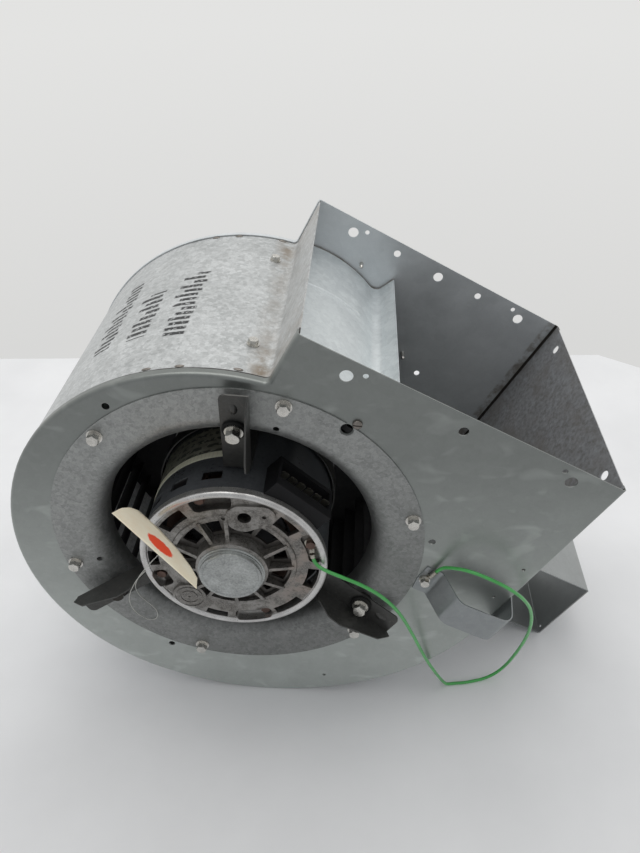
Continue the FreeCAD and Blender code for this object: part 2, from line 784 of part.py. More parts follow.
def motor_bell_front():
    """Cast end bell: turned blank with windows, ribs, bolt pockets and two raised bosses."""
    blank = bell_blank()
    windows = [slab(sector(*window), -40, -10) for window in BELL_WINDOWS]
    side = [Vector(x, y, -1.4) for x, y in ((24, -28.5), (29, -26.5), (46, -23), (46, -17.4), (24, -17.4))]
    rib = Part.Face(Part.makePolygon(side + side[:1])).extrude(Vector(0, 0, 2.8))
    ribs = [placed(rib, 0, 0, 0, -angle) for angle in BELL_RIBS]
    plate = slab(hull_outline((10, 46.5, 12.4), (24.5, 49.5, 9.3)), -22.9, -19.2)
    seat = Part.makeCylinder(13.4, 6.8, Vector(-37.2, -23.6, -39.5), AXIS)
    cups = [rounded_sector(a - 1.6, 67, m, w + 3.2, -19, -13.2, 5.2) for a, _, m, w in BELL_POCKETS]
    whole = blank.cut(windows).fuse(ribs + [plate, seat] + cups)
    cuts = [rounded_sector(*pocket, -30, -14.7, 4.0) for pocket in BELL_POCKETS]
    cuts.append(rounded_sector(57, 66.8, 16, 27, -30, -18.5, 4.0))
    cuts += [Part.makeCylinder(2.65, 30, Vector(x, -35, z), AXIS) for x, z in bolt_spots()]
    cuts.append(Part.makeCylinder(5.0, 30, Vector(11.3, -35, 47.7), AXIS))
    cuts += [Part.makeCylinder(1.5, 12, Vector(x, -33, z), AXIS) for x, z in ((-4.2, 45.8), (25.6, 48.9))]
    for outer, inner in ((11.4, 10.4), (7.0, 6.2), (1.0, 0)):
        groove = Part.makeCylinder(outer, 0.6, Vector(-37.2, -23.7, -39.5), AXIS)
        if inner:
            groove = groove.cut(Part.makeCylinder(inner, 0.6, Vector(-37.2, -23.7, -39.5), AXIS))
        cuts.append(groove)
    new_feature("motor_bell_front", whole.cut(cuts).removeSplitter())


def motor_bell_rear():
    """Rear end bell with vent windows round the shaft."""
    back = D.shell_back
    body = new_body("motor_bell_rear")
    revolve(body, polygon(body, "XY_Plane", [
        (11.05, back + 15), (16, back + 15), (20, back + 11), (58, back + 9), (D.bell_radius, back + 3),
        (D.bell_radius, back + 0.05), (68.9, back + 0.05), (68.9, back - 6), (66, back - 6),
        (66, back + 0.5), (57, back + 5.5), (19, back + 7), (15.5, back + 7), (15.5, back - 2),
        (11.05, back - 2),
    ]))
    curves = []
    for turn in range(8):
        curves += sector(28, 50, 42.5 + 45 * turn, 26)
    cut_through(body, sketch_on(body, "XZ_Plane", curves))
    cut_through(body, circle_sketch(body, [(*polar(D.bolt_circle, angle), 2.65) for angle in BOLT_ANGLES]))
    return body


def bearings_and_cap():
    for label, low, high in (("bearing_front", -30.5, -13.5), ("bearing_rear", 94.0, 109.5)):
        turned_body(label, [
            (D.shaft_radius + 0.05, low), (11.0, low), (11.0, high), (D.shaft_radius + 0.05, high),
        ])
    turned_body("bearing_cap", [
        (0, -35.9), (20.4, -35.9), (21.2, -36.6), (22.4, -36.9), (23.3, -36.3), (23.5, -35.2), (22.9, -34.4),
        (22.9, -33.8), (24.2, -33.4), (24.2, -32.6), (23.8, -32.2), (25.1, -31.6), (25.1, -30.85),
        (21.8, -30.85), (21.8, -34.6), (0, -34.6),
    ])


def stator():
    """Laminated core with winding slots, and the winding with its end turns."""
    low, high = number(D.core_front), number(D.core_back)
    bore = number(D.rotor_radius) + number(D.air_gap)
    inside = number(D.shell_radius) - number(D.shell_wall) - 0.05
    core = Part.makeCylinder(inside, high - low, Vector(0, low, 0), AXIS)
    cuts = [Part.makeCylinder(bore, high - low, Vector(0, low, 0), AXIS)]
    slots = 24
    for turn in range(slots):
        box = Part.makeBox(13, high - low, 5.2, Vector(43, low, -2.6))
        mouth = Part.makeBox(5, high - low, 2.0, Vector(39.5, low, -1.0))
        cuts += [placed(item, 0, 0, 0, -360 / slots * turn) for item in (box, mouth)]
    for angle in BOLT_ANGLES:
        x, z = polar(D.bolt_circle, angle)
        cuts.append(Part.makeCylinder(3.0, high - low, Vector(x, low, z), AXIS))
    new_feature("stator_core", core.cut(cuts))
    coils = []
    for first, last in ((low - 12, low - 0.05), (high + 0.05, high + 12)):
        ring = Part.makeCylinder(56, last - first, Vector(0, first, 0), AXIS)
        coils.append(ring.cut(Part.makeCylinder(42.5, last - first, Vector(0, first, 0), AXIS)))
    bar = Part.makeBox(11.6, high - low + 2, 4.8, Vector(43.8, low - 1, -2.4))
    coils += [placed(bar, 0, 0, 0, -360 / slots * turn) for turn in range(slots)]
    new_feature("stator_winding", coils[0].fuse(coils[1:]))


def rotor():
    """Cast cage rotor on the shaft, with cooling fins on both end rings."""
    low, high = number(D.core_front), number(D.core_back)
    shaft = number(D.shaft_radius)
    pieces = [
        Part.makeCylinder(number(D.rotor_radius), high - low, Vector(0, low, 0), AXIS),
        Part.makeCylinder(37, high - low + 8, Vector(0, low - 4, 0), AXIS),
    ]
    fin = Part.makeBox(9, high - low + 22, 2.2, Vector(27, low - 11, -1.1))
    pieces += [placed(fin, 0, 0, 0, 40 * turn) for turn in range(9)]
    body = pieces[0].fuse(pieces[1:])
    new_feature("rotor", body.cut(Part.makeCylinder(shaft, high - low + 30, Vector(0, low - 15, 0), AXIS)))


def bolt_spots():
    return [polar(D.bolt_circle, angle) for angle in BOLT_ANGLES]


def through_bolts():
    """Four bolts that hold the bells on the shell, their washers and rear nuts."""
    back = number(D.shell_back)
    bolts, washers, nuts = [], [], []
    for (x, z), seat in zip(bolt_spots(), (-18.5, -14.7, -14.7, -14.7)):
        under = seat - 0.85
        head = slab(hexagon(6.6), under - 2.8, under)
        shank = Part.makeCylinder(2.4, back + 17 - under, Vector(0, under, 0), AXIS)
        bolts.append(placed(head.fuse(shank), x, 0, z, 13 * x))
        if seat > -18:
            washer = Part.makeCylinder(4.4, 0.8, Vector(0, under, 0), AXIS)
            bore = Part.makeCylinder(2.5, 0.8, Vector(0, under, 0), AXIS)
            washers.append(placed(washer.cut(bore), x, 0, z))
        nut = slab(hexagon(8.0), back + 9.2, back + 13.2)
        nut = nut.cut(Part.makeCylinder(2.42, 8, Vector(0, back + 8, 0), AXIS))
        nuts.append(placed(nut, x, 0, z, 7 * z))
    group("through_bolts", bolts)
    group("bolt_washers", washers)
    group("bolt_nuts", nuts)


def terminal_block():
    """Moulded connector on the shell with six tabs in a trough."""
    middle = 48.5
    block = Part.makeBox(19.5, 29, 50, Vector(62, -17, -25))
    trough = Part.makeBox(5, 11, 45, Vector(77.5, -9, -22.5))
    lead = Part.makeBox(8, 6, 45, Vector(74.5, 2, -22.5))
    saddle = Part.makeCylinder(number(D.shell_radius) + 0.05, 80, Vector(0, -30, 0), AXIS)
    rim = Part.makeCylinder(number(D.bell_radius) + 0.05, 14.1, Vector(0, -30, 0), AXIS)
    places = [-19 + 7.6 * turn for turn in range(6)]
    slots = [Part.makeBox(6, 1.4, 6.6, Vector(72, -4.3, z - 3.3)) for z in places]
    body = block.cut([trough, lead, saddle, rim] + slots)
    new_feature("terminal_block", body, turned_place(middle))
    tab = Part.makeBox(11.0, 0.8, 6.3, Vector(72.2, -4.0, -3.15))
    tab = tab.makeChamfer(1.0, [e for e in tab.Edges if e.BoundBox.XMin > 83 and e.BoundBox.YLength > 0.5])
    tabs = Part.makeCompound([placed(tab, 0, 0, z) for z in places])
    new_feature("terminal_tabs", tabs, turned_place(middle))


def motor_label():
    inner = number(D.shell_radius) + 0.02
    patch = Part.makeCylinder(inner + 0.25, 38, Vector(0, 18.5, 0), AXIS, 360)
    patch = patch.cut(Part.makeCylinder(inner, 38, Vector(0, 18.5, 0), AXIS))
    curves = sector(40, 90, 131, 68)
    new_feature("motor_label", patch.common(slab(curves, 10, 70)))


# ---- motor mount ----------------------------------------------------------------------------

FOOT_END = (147.0, -13.2)


def foot_face(radius):
    """Level of the foot's front face at a distance from the wheel axis."""
    return FOOT_END[1] + (FOOT_END[0] - radius) * math.tan(math.radians(number(D.foot_slope)))


def arm_path():
    """Sloping foot, then a leg along the shell; (radius, y)."""
    slope = number(D.foot_slope)
    bend = 6.0
    leg = number(D.shell_radius) + 0.05
    run = (FOOT_END[0] - leg - bend * (1 - math.sin(math.radians(slope)))) / math.cos(math.radians(slope))
    return Path(FOOT_END, 180 - slope, [(run,), (bend, slope - 90), (68.5,)])


def on_foot(shape):
    """Turn a piece drawn at the origin, facing -Y, onto the foot at its screw."""
    copy = shape.copy()
    copy.rotate(Vector(), Vector(0, 0, 1), -number(D.foot_slope))
    radius = number(D.arm_screw_circle)
    copy.translate(Vector(radius, foot_face(radius), 0.5))
    return copy


def arm_fin(half, thick):
    """Upright stiffening fin along one side of the foot."""
    profile = [(146.6, foot_face(146.6) + 0.5), (149.5, -17), (138.5, -24.3), (115, -26.2), (102, -27.4),
               (91, -24), (80.5, -12), (76.2, -1), (77.5, foot_face(77.5) + 0.5)]
    spots = [Vector(x, y, -half) for x, y in profile]
    fin = Part.Face(Part.makePolygon(spots + spots[:1])).extrude(Vector(0, 0, thick))
    soft = [edge for edge in fin.Edges if edge.BoundBox.ZLength > thick / 2 and edge.BoundBox.YMax < -11.9
            and edge.BoundBox.XMax < 149]
    return fin.makeFillet(3.5, [edge for edge in soft if edge.BoundBox.XLength < 0.01])


def motor_arms():
    """Three arms of bent sheet: foot with a fin, a grommet hole and a pressed dimple."""
    half = number(D.arm_width) / 2
    thick = number(D.arm_sheet)
    curves = arm_path().strip(0, -thick)
    strip = Part.Face(Part.Wire(Part.__sortEdges__([curve.toShape() for curve in curves])))
    strip.translate(Vector(0, 0, -half))
    strip = strip.extrude(Vector(0, 0, 2 * half))
    ends = [edge for edge in strip.Edges if edge.BoundBox.XMin > 146 and edge.BoundBox.ZLength < 0.01]
    strip = strip.makeFillet(5.0, [edge for edge in ends if edge.BoundBox.ZMin > 0])
    arc = Part.Arc(Vector(-7, 0, 0), Vector(0, -3.4, 0), Vector(7, 0, 0)).toShape()
    lens = Part.Face(Part.Wire([arc, Part.makeLine(Vector(7, 0, 0), Vector(-7, 0, 0))]))
    dimple = lens.revolve(Vector(), Vector(1, 0, 0), 360)
    dimple.translate(Vector(19.5, 1.8, 0))
    dimple = dimple.cut(Part.makeBox(40, 20, 40, Vector(0, thick * 0.6, -20)))
    hole = Part.makeCylinder(6.5, 14, Vector(0, -7, 0), AXIS)
    arm = strip.fuse([arm_fin(half, thick), on_foot(dimple)]).cut(on_foot(hole)).removeSplitter()
    for name, angle in ARM_ANGLES.items():
        new_feature(f"motor_arm_{name}", arm.copy(), turned_place(angle))


def arm_fasteners():
    """Rubber grommets in the arm feet and the screws through them."""
    thick = number(D.arm_sheet)
    ring = [(3.2, -2.4), (8.2, -2.4), (8.6, -1.8), (8.6, -0.02), (6.45, -0.02), (6.45, thick + 0.02),
            (8.6, thick + 0.02), (8.6, 4.6), (3.2, 4.6)]
    wire = Part.makePolygon([Vector(x, y, 0) for x, y in ring + ring[:1]])
    grommet = on_foot(Part.Face(wire).revolve(Vector(), AXIS, 360))
    screw = hex_screw(9.5, 6.0, 6.6, 2.4, 16.0, 1.2)
    screw.translate(Vector(0, -2.42, 0))
    screw = on_foot(screw)
    group("arm_grommets", [placed(grommet, 0, 0, 0, -angle) for angle in ARM_ANGLES.values()])
    group("arm_screws", [placed(screw, 0, 0, 0, -angle) for angle in ARM_ANGLES.values()])


def mounting_band():
    """Belly band round the arm legs, closed by a clamp bolt."""
    leg_face = number(D.shell_radius) + 0.05 + number(D.arm_sheet)
    inner = math.hypot(leg_face, number(D.arm_width) / 2) + 0.05
    low, high = 58.0, 74.0
    ring = Part.makeCylinder(inner + 1.0, high - low, Vector(0, low, 0), AXIS)
    ring = ring.cut(Part.makeCylinder(inner, high - low, Vector(0, low, 0), AXIS))
    gap = Part.makeBox(20, high - low, 8, Vector(inner - 10, low, -4))
    ears = [Part.makeBox(17, high - low, 1.2, Vector(inner + 0.2, low, z)) for z in (-5.2, 4.0)]
    band = ring.cut(gap).fuse(ears)
    bit = Part.makeCylinder(2.7, 30, Vector(inner + 11, (low + high) / 2, -15), Vector(0, 0, 1))
    new_feature("mounting_band", band.cut(bit).removeSplitter(), turned_place(268))
    centre = Vector(inner + 11, (low + high) / 2, 0)
    stem = Part.makeCylinder(2.5, 22, Vector(centre.x, centre.y, -5.2), Vector(0, 0, 1))
    head = slab(hexagon(8.0), 0, 3.5)
    head.rotate(Vector(), Vector(1, 0, 0), 90)
    head.translate(Vector(centre.x, centre.y, -5.2 - 3.5))
    low_z = head.BoundBox.ZMin
    head.translate(Vector(0, 0, -8.7 - low_z))
    new_feature("band_bolt", stem.fuse(head), turned_place(268))
    nut = slab(hexagon(8.0), 0, 4.0)
    nut.rotate(Vector(), Vector(1, 0, 0), 90)
    nut.translate(Vector(centre.x, centre.y, 0))
    nut.translate(Vector(0, 0, 5.25 - nut.BoundBox.ZMin))
    nut = nut.cut(Part.makeCylinder(2.52, 40, Vector(centre.x, centre.y, -10), Vector(0, 0, 1)))
    new_feature("band_nut", nut, turned_place(268))


# ---- support bracket, strap and wiring ------------------------------------------------------

def bracket_path():
    """Channel section in the square frame, from its top foot on the wrapper to its bottom foot."""
    lean = math.radians(number(D.outlet_tilt))
    bend = 2.0
    reach = number(D.bracket_reach)
    top = number(D.bracket_top)
    wall = wrapper_wall()
    bottom = (bench_height() + bend + (reach - bend) * math.sin(lean)) / math.cos(lean) - bend
    radii, centres = scroll_centres()
    foot_angle = -15.5
    outside = radii[3] - number(D.sheet) - 0.03
    foot_x = centres[3][0] + outside * math.cos(math.radians(foot_angle))
    foot_z = centres[3][1] + outside * math.sin(math.radians(foot_angle))
    slope = math.radians(90 + foot_angle)
    inner_x = foot_x - (foot_z - bottom) / math.tan(slope)
    corner = bend * math.tan((math.pi - slope) / 2)
    moves = [
        (top - bend - (number(D.scroll_rise) + 1.0),),
        (bend, -90),
        (reach - wall - 2 * bend,),
        (bend, -90),
        (top - bottom - 2 * bend,),
        (bend, -90),
        (reach - bend - inner_x - corner,),
        (bend, -(90 - foot_angle)),
        (9.0,),
    ]
    return Path((wall, number(D.scroll_rise) + 1.0), 90, moves)


def support_bracket():
    body = new_body("support_bracket", tilted=True)
    outline = bracket_path().strip(0, -number(D.bracket_sheet))
    length = D.bracket_back - D.bracket_front
    pad(body, sketch_on(body, "XZ_Plane", outline, number(D.bracket_front)), length)
    doc.recompute()
    drill(body, "YZ_Plane", [(83.5, 27.0, 1.5), (83.5, -40.0, 1.5)], number(D.bracket_reach) - 10, 20)
    drill(body, "YZ_Plane", [(y, BRACKET_SCREW_Z, 1.7) for y in BRACKET_SCREW_Y], wrapper_wall() - 5, 12)


def bracket_screws():
    """Screws through the bracket's two feet into the wrapper wall."""
    seat = wrapper_wall() + number(D.bracket_sheet)
    screw = hex_screw(6.4, 3.5, 4.6, 1.5, 7.0)
    screw.rotate(Vector(), Vector(0, 0, 1), 90)
    driven = [placed(screw, seat, y, BRACKET_SCREW_Z) for y in BRACKET_SCREW_Y]
    new_feature("bracket_screws", Part.makeCompound(driven), tilt())


def cutoff_screw():
    """Screw from the rear plate into the folded edge of the cutoff."""
    screw = flipped(hex_screw(6.4, 3.5, 4.6, 1.8, 9.0), number(D.housing_width))
    new_feature("cutoff_screw", Part.makeCompound([placed(screw, 21.2, 0, 152.5)]), tilt())


def strap_path():
    """Capacitor strap in the (x, y) plane of the square frame: foot, arch and tail past the edge."""
    moves = [(12.5,), (3.0, -60), (20.2,), (10.0, 60), (32.0,), (13.0, 82), (28.0,)]
    return Path((140.5, -number(D.strap_sheet)), 0, moves)


def capacitor_strap():
    curves = strap_path().strip(0, number(D.strap_sheet))
    face = Part.Face(Part.Wire(Part.__sortEdges__([curve.toShape() for curve in curves])))
    face.translate(Vector(0, 0, 24.5))
    strap = face.extrude(Vector(0, 0, 27))
    clip = Part.makeCylinder(number(D.ring_radius) + 1.0, 40, Vector(0, -35, 0), AXIS)
    hole = Part.makeCylinder(2.1, 10, Vector(146.0, -5, 38.5), AXIS)
    new_feature("capacitor_strap", strap.cut([clip, hole]), tilt())


def ring_terminal(hole, outer, lift, length):
    """Crimped ring terminal in the XZ plane, ring at the origin, barrel along +X, face at y = 0."""
    ring = Part.makeCylinder(outer, 0.8, Vector(0, -0.8, 0), AXIS)
    tongue = Part.makeBox(outer + 0.8, 0.8, 3.6, Vector(0, -0.8, -1.8))
    rise = [(outer - 0.1, -0.8), (outer + 0.8, 0), (outer + 2.7, 1.6 - lift), (outer + 2.7, 0.4 - lift)]
    spots = [Vector(x, y, -1.8) for x, y in rise]
    slope = Part.Face(Part.makePolygon(spots + spots[:1])).extrude(Vector(0, 0, 3.6))
    barrel = Part.makeCylinder(2.0, length, Vector(outer + 2.6, -lift, 0), Vector(1, 0, 0))
    whole = ring.fuse([tongue, slope, barrel])
    return whole.cut(Part.makeCylinder(hole, 10, Vector(0, -8, 0), AXIS)).removeSplitter()


def terminal_ends():
    """Where the ground wire meets its two terminals, in the standing frame."""
    bolt_x, bolt_z = polar(D.bolt_circle, BOLT_ANGLES[0])
    lean = math.radians(number(D.outlet_tilt))
    screw_x = 146.0 * math.cos(lean) + 38.5 * math.sin(lean)
    screw_z = -146.0 * math.sin(lean) + 38.5 * math.cos(lean)
    return (bolt_x, bolt_z, -80.5), (screw_x, screw_z, 55.0)


def ground_hardware():
    """Ring terminals on a motor bolt and on the strap screw, and that screw."""
    motor, frame = terminal_ends()
    first = ring_terminal(2.5, 4.6, 4.2, 3.8)
    new_feature("ring_terminal_motor", placed(first, motor[0], -18.5, motor[1], -motor[2]))
    second = ring_terminal(2.1, 4.4, 2.2, 7.0)
    new_feature("ring_terminal_housing", placed(second, frame[0], -1.02, frame[1], -frame[2]))
    screw = hex_screw(6.8, 4.0, 4.2, 1.8, 12.0)
    new_feature("strap_screw", placed(screw, frame[0], -1.84, frame[1], 20))


GROUND_WIRE = [
    (60.12, -22.72, 10.2), (61.0, -23.0, 4.9), (66.8, -26.6, 2.2), (78.0, -31.0, 1.0), (97.0, -33.0, -6.3),
    (113.3, -31.0, -21.1), (127.7, -27.0, -43.9), (141.0, -19.0, -80.9), (155.3, -8.0, -126.3),
    (166.8, 1.5, -158.5), (175.6, 8.6, -181.0), (180.2, 12.0, -191.2), (183.2, 13.2, -194.6),
    (189.5, 14.6, -194.8), (201.0, 16.0, -194.8), (222.0, 22.0, -194.7), (235.5, 24.0, -180.0),
    (241.0, 14.0, -138.0), (240.2, -1.0, -92.0), (233.4, -13.0, -54.0), (223.4, -20.0, -31.5),
    (209.6, -24.0, -15.1), (192.0, -22.5, -5.5), (176.5, -16.5, -4.0), (164.3, -8.5, -10.5),
    (158.7, -3.24, -17.0), (155.4, -3.24, -21.75),
]

TAG_WIRE = [
    (-68.2, -23.6, -11.8), (-75.4, -23.0, -20.4), (-81.1, -23.0, -30.7), (-86.7, -20.6, -43.7),
    (-90.6, -15.5, -59.7), (-91.4, -9.8, -76.7), (-88.3, -5.2, -90.4), (-82.3, -2.4, -99.2),
    (-76.4, -1.5, -97.8), (-74.0, -1.5, -89.6), (-76.7, -3.0, -79.5), (-80.3, -7.0, -67.6),
    (-82.4, -12.5, -54.1), (-81.4, -19.0, -38.5), (-77.3, -25.2, -24.0), (-71.7, -27.4, -12.4),
    (-64.9, -30.0, -1.4), (-58.1, -33.5, 10.0), (-51.3, -38.5, 21.6), (-46.0, -42.8, 30.5),
    (-41.25, -46.9, 37.4),
]

TAG_CORNER = Vector(-71.9, -50.0, 74.2)
TAG_ALONG = Vector(54.3, -14.0, -56.0)
TAG_ACROSS = Vector(5.0, 24.0, -16.0)
TAG_OUTLINE = [
    (0, 0), (4, 14), (9.5, 23.5), (16, 28.5), (35, 28.5), (55, 24.5), (70, 17.5), (77.5, 11), (78.5, -0.5),
]


def cord_tube(label, route, radius):
    """Round tube along straight runs joined by tangent arcs; prints its arc radii and length."""
    points = [Vector(*spot) for spot in route]
    edges = []
    start = points[0]
    radii = []
    for before, corner, after in zip(points, points[1:], points[2:]):
        back, ahead = (before - corner), (after - corner)
        reach = 0.45 * min(back.Length, ahead.Length)
        half_turn = (math.pi - back.getAngle(ahead)) / 2
        bend = reach / math.tan(half_turn)
        radii.append(round(bend, 1))
        back.normalize()
        ahead.normalize()
        entry, leave = corner + back * reach, corner + ahead * reach
        inward = back + ahead
        inward.normalize()
        middle = corner + inward * (bend / math.cos(half_turn) - bend)
        edges += [Part.LineSegment(start, entry).toShape(), Part.Arc(entry, middle, leave).toShape()]
        start = leave
    edges.append(Part.LineSegment(start, points[-1]).toShape())
    path = Part.Wire(edges)
    ring = Part.Wire([Part.Circle(points[0], points[1] - points[0], radius).toShape()])
    tube = path.makePipeShell([ring], True, False)
    expected = math.pi * radius ** 2 * path.Length
    print(label, "length", round(path.Length, 1), "volume ratio", round(tube.Volume / expected, 4))
    print(label, "arc radii", radii)
    new_feature(label, tube)


def tag():
    """Blank paper tag: a thin card tapering to its hanging end."""
    along = Vector(TAG_ALONG).normalize()
    normal = along.cross(TAG_ACROSS).normalize()
    across = normal.cross(along)
    spots = [TAG_CORNER + along * u + across * v for u, v in TAG_OUTLINE]
    card = Part.Face(Part.makePolygon(spots + spots[:1])).extrude(normal * 0.4)
    new_feature("tag", card)


def check_and_export():
    """Stop on any failed object or empty sub-part, then write one STEP file per sub-part."""
    doc.recompute()
    for item in doc.Objects:
        if any(word in item.State for word in ("Invalid", "Error")):
            raise RuntimeError(f"{item.Label} failed: {item.State}")
    os.makedirs("parts", exist_ok=True)
    for item in parts:
        shape = item.Shape
        if shape.isNull() or not shape.isValid() or shape.Volume < 0.1:
            raise RuntimeError(f"{item.Label} has no valid shape")
        shape.exportStep(f"parts/{item.Label}.step")
        print(f"{item.Label:24s} solids {len(shape.Solids):3d} volume {shape.Volume:12.1f}")


def main():
    fill_sheet()
    width = number(D.housing_width)
    side_plate("side_plate_front", 0.0, 1)
    side_plate("side_plate_rear", width, -1)
    scroll_wrapper()
    cutoff_plate()
    inlet_ring("inlet_ring_front", 0.0, 1, front_ring_holes())
    inlet_ring("inlet_ring_rear", width, -1, ring_screw_holes())
    housing_screws()
    notch_screw()
    hub_seat = wheel()
    motor_shaft(hub_seat)
    motor_shell()
    motor_bell_front()
    motor_bell_rear()
    bearings_and_cap()
    stator()
    rotor()
    through_bolts()
    terminal_block()
    motor_label()
    motor_arms()
    arm_fasteners()
    mounting_band()
    support_bracket()
    bracket_screws()
    cutoff_screw()
    capacitor_strap()
    ground_hardware()
    cord_tube("ground_wire", GROUND_WIRE, number(D.wire_radius))
    cord_tube("tag_wire", TAG_WIRE, 0.3)
    tag()
    check_and_export()


main()
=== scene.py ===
"""Looks of a direct-drive centrifugal blower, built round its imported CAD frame. Metres throughout."""

import math

import bpy
from mathutils import Matrix, Vector


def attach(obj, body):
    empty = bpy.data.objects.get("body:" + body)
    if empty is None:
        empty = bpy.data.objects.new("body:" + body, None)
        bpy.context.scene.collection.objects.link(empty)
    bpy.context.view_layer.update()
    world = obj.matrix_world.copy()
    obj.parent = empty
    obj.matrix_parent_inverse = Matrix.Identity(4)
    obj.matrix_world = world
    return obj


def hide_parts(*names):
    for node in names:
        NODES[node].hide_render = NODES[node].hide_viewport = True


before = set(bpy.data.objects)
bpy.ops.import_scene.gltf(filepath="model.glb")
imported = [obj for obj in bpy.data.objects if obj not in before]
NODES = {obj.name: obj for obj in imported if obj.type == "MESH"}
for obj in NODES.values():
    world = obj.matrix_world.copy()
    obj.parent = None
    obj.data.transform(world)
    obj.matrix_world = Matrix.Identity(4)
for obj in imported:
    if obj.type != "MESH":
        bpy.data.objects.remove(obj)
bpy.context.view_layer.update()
MM = 0.001

# places on the housing, from the CAD
TILT = math.radians(27.5)
BENCH = -196.3 * MM
HOUSING_MIDDLE = 118 * MM
REAR_PLATE_MIDDLE = 236.5 * MM
SCROLL_CENTRE = (-12.07 * MM, -13.08 * MM)
WRAPPER_RADIUS = 158.85 * MM
WRAPPER_FOLD = -47.5 * MM
OUTLET_WALL_INSIDE = 217.4 * MM


# ---- camera and cords -----------------------------------------------------------------------

CAMERA_PLACE = (0.08603, -0.39304, 0.41298)
CAMERA_FORWARD = Vector((-0.04447, 0.79553, -0.60420))
CAMERA_LENS = 30.77


def make_camera():
    data = bpy.data.cameras.new("camera")
    data.lens = CAMERA_LENS
    data.sensor_width = 36
    data.clip_start = 0.01
    camera = bpy.data.objects.new("camera", data)
    camera.location = CAMERA_PLACE
    camera.rotation_mode = "QUATERNION"
    camera.rotation_quaternion = CAMERA_FORWARD.to_track_quat("-Z", "Y")
    bpy.context.scene.collection.objects.link(camera)
    bpy.context.scene.camera = camera


GROUND_WIRE_DIAMETER = 2.8 * MM
TAG_WIRE_DIAMETER = 0.6 * MM

# routes in millimetres, each from the piece it leaves
GROUND_WIRE = [
    (60.12, -22.72, 10.2), (61.0, -23.0, 4.9), (66.8, -26.6, 2.2), (78.0, -31.0, 1.0), (97.0, -33.0, -6.3),
    (113.3, -31.0, -21.1), (127.7, -27.0, -43.9), (141.0, -19.0, -80.9), (155.3, -8.0, -126.3),
    (166.8, 1.5, -158.5), (175.6, 8.6, -181.0), (180.2, 12.0, -191.2), (183.2, 13.2, -194.6),
    (189.5, 14.6, -194.8), (201.0, 16.0, -194.8), (222.0, 22.0, -194.7), (235.5, 24.0, -180.0),
    (241.0, 14.0, -138.0), (240.2, -1.0, -92.0), (233.4, -13.0, -54.0), (223.4, -20.0, -31.5),
    (209.6, -24.0, -15.1), (192.0, -22.5, -5.5), (176.5, -16.5, -4.0), (164.3, -8.5, -10.5),
    (158.7, -3.24, -17.0), (155.4, -3.24, -21.75),
]

TAG_WIRE = [
    (-68.2, -23.6, -11.8), (-75.4, -23.0, -20.4), (-81.1, -23.0, -30.7), (-86.7, -20.6, -43.7),
    (-90.6, -15.5, -59.7), (-91.4, -9.8, -76.7), (-88.3, -5.2, -90.4), (-82.3, -2.4, -99.2),
    (-76.4, -1.5, -97.8), (-74.0, -1.5, -89.6), (-76.7, -3.0, -79.5), (-80.3, -7.0, -67.6),
    (-82.4, -12.5, -54.1), (-81.4, -19.0, -38.5), (-77.3, -25.2, -24.0), (-71.7, -27.4, -12.4),
    (-64.9, -30.0, -1.4), (-58.1, -33.5, 10.0), (-51.3, -38.5, 21.6), (-46.0, -42.8, 30.5),
    (-41.25, -46.9, 37.4),
]


def make_cord(name, points, diameter):
    """Round cord on an open NURBS spline whose control points are the route's, in millimetres."""
    curve = bpy.data.curves.new(name, "CURVE")
    curve.dimensions = "3D"
    spline = curve.splines.new("NURBS")
    spline.points.add(len(points) - 1)
    for point, spot in zip(spline.points, points):
        point.co = (spot[0] * MM, spot[1] * MM, spot[2] * MM, 1)
        point.radius = MM
    spline.order_u = 3
    spline.use_endpoint_u = True
    spline.resolution_u = 8
    curve.bevel_depth = diameter / 2 / MM
    curve.bevel_resolution = 4
    curve.use_fill_caps = True
    cord = bpy.data.objects.new(name, curve)
    bpy.context.scene.collection.objects.link(cord)
    return cord


make_camera()
ground_wire = make_cord("green_ground_wire", GROUND_WIRE, GROUND_WIRE_DIAMETER)
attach(ground_wire, "housing")
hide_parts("ground_wire")
tag_wire = make_cord("soft_tag_wire", TAG_WIRE, TAG_WIRE_DIAMETER)
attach(tag_wire, "housing")
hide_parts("tag_wire")


# ---- materials ------------------------------------------------------------------------------

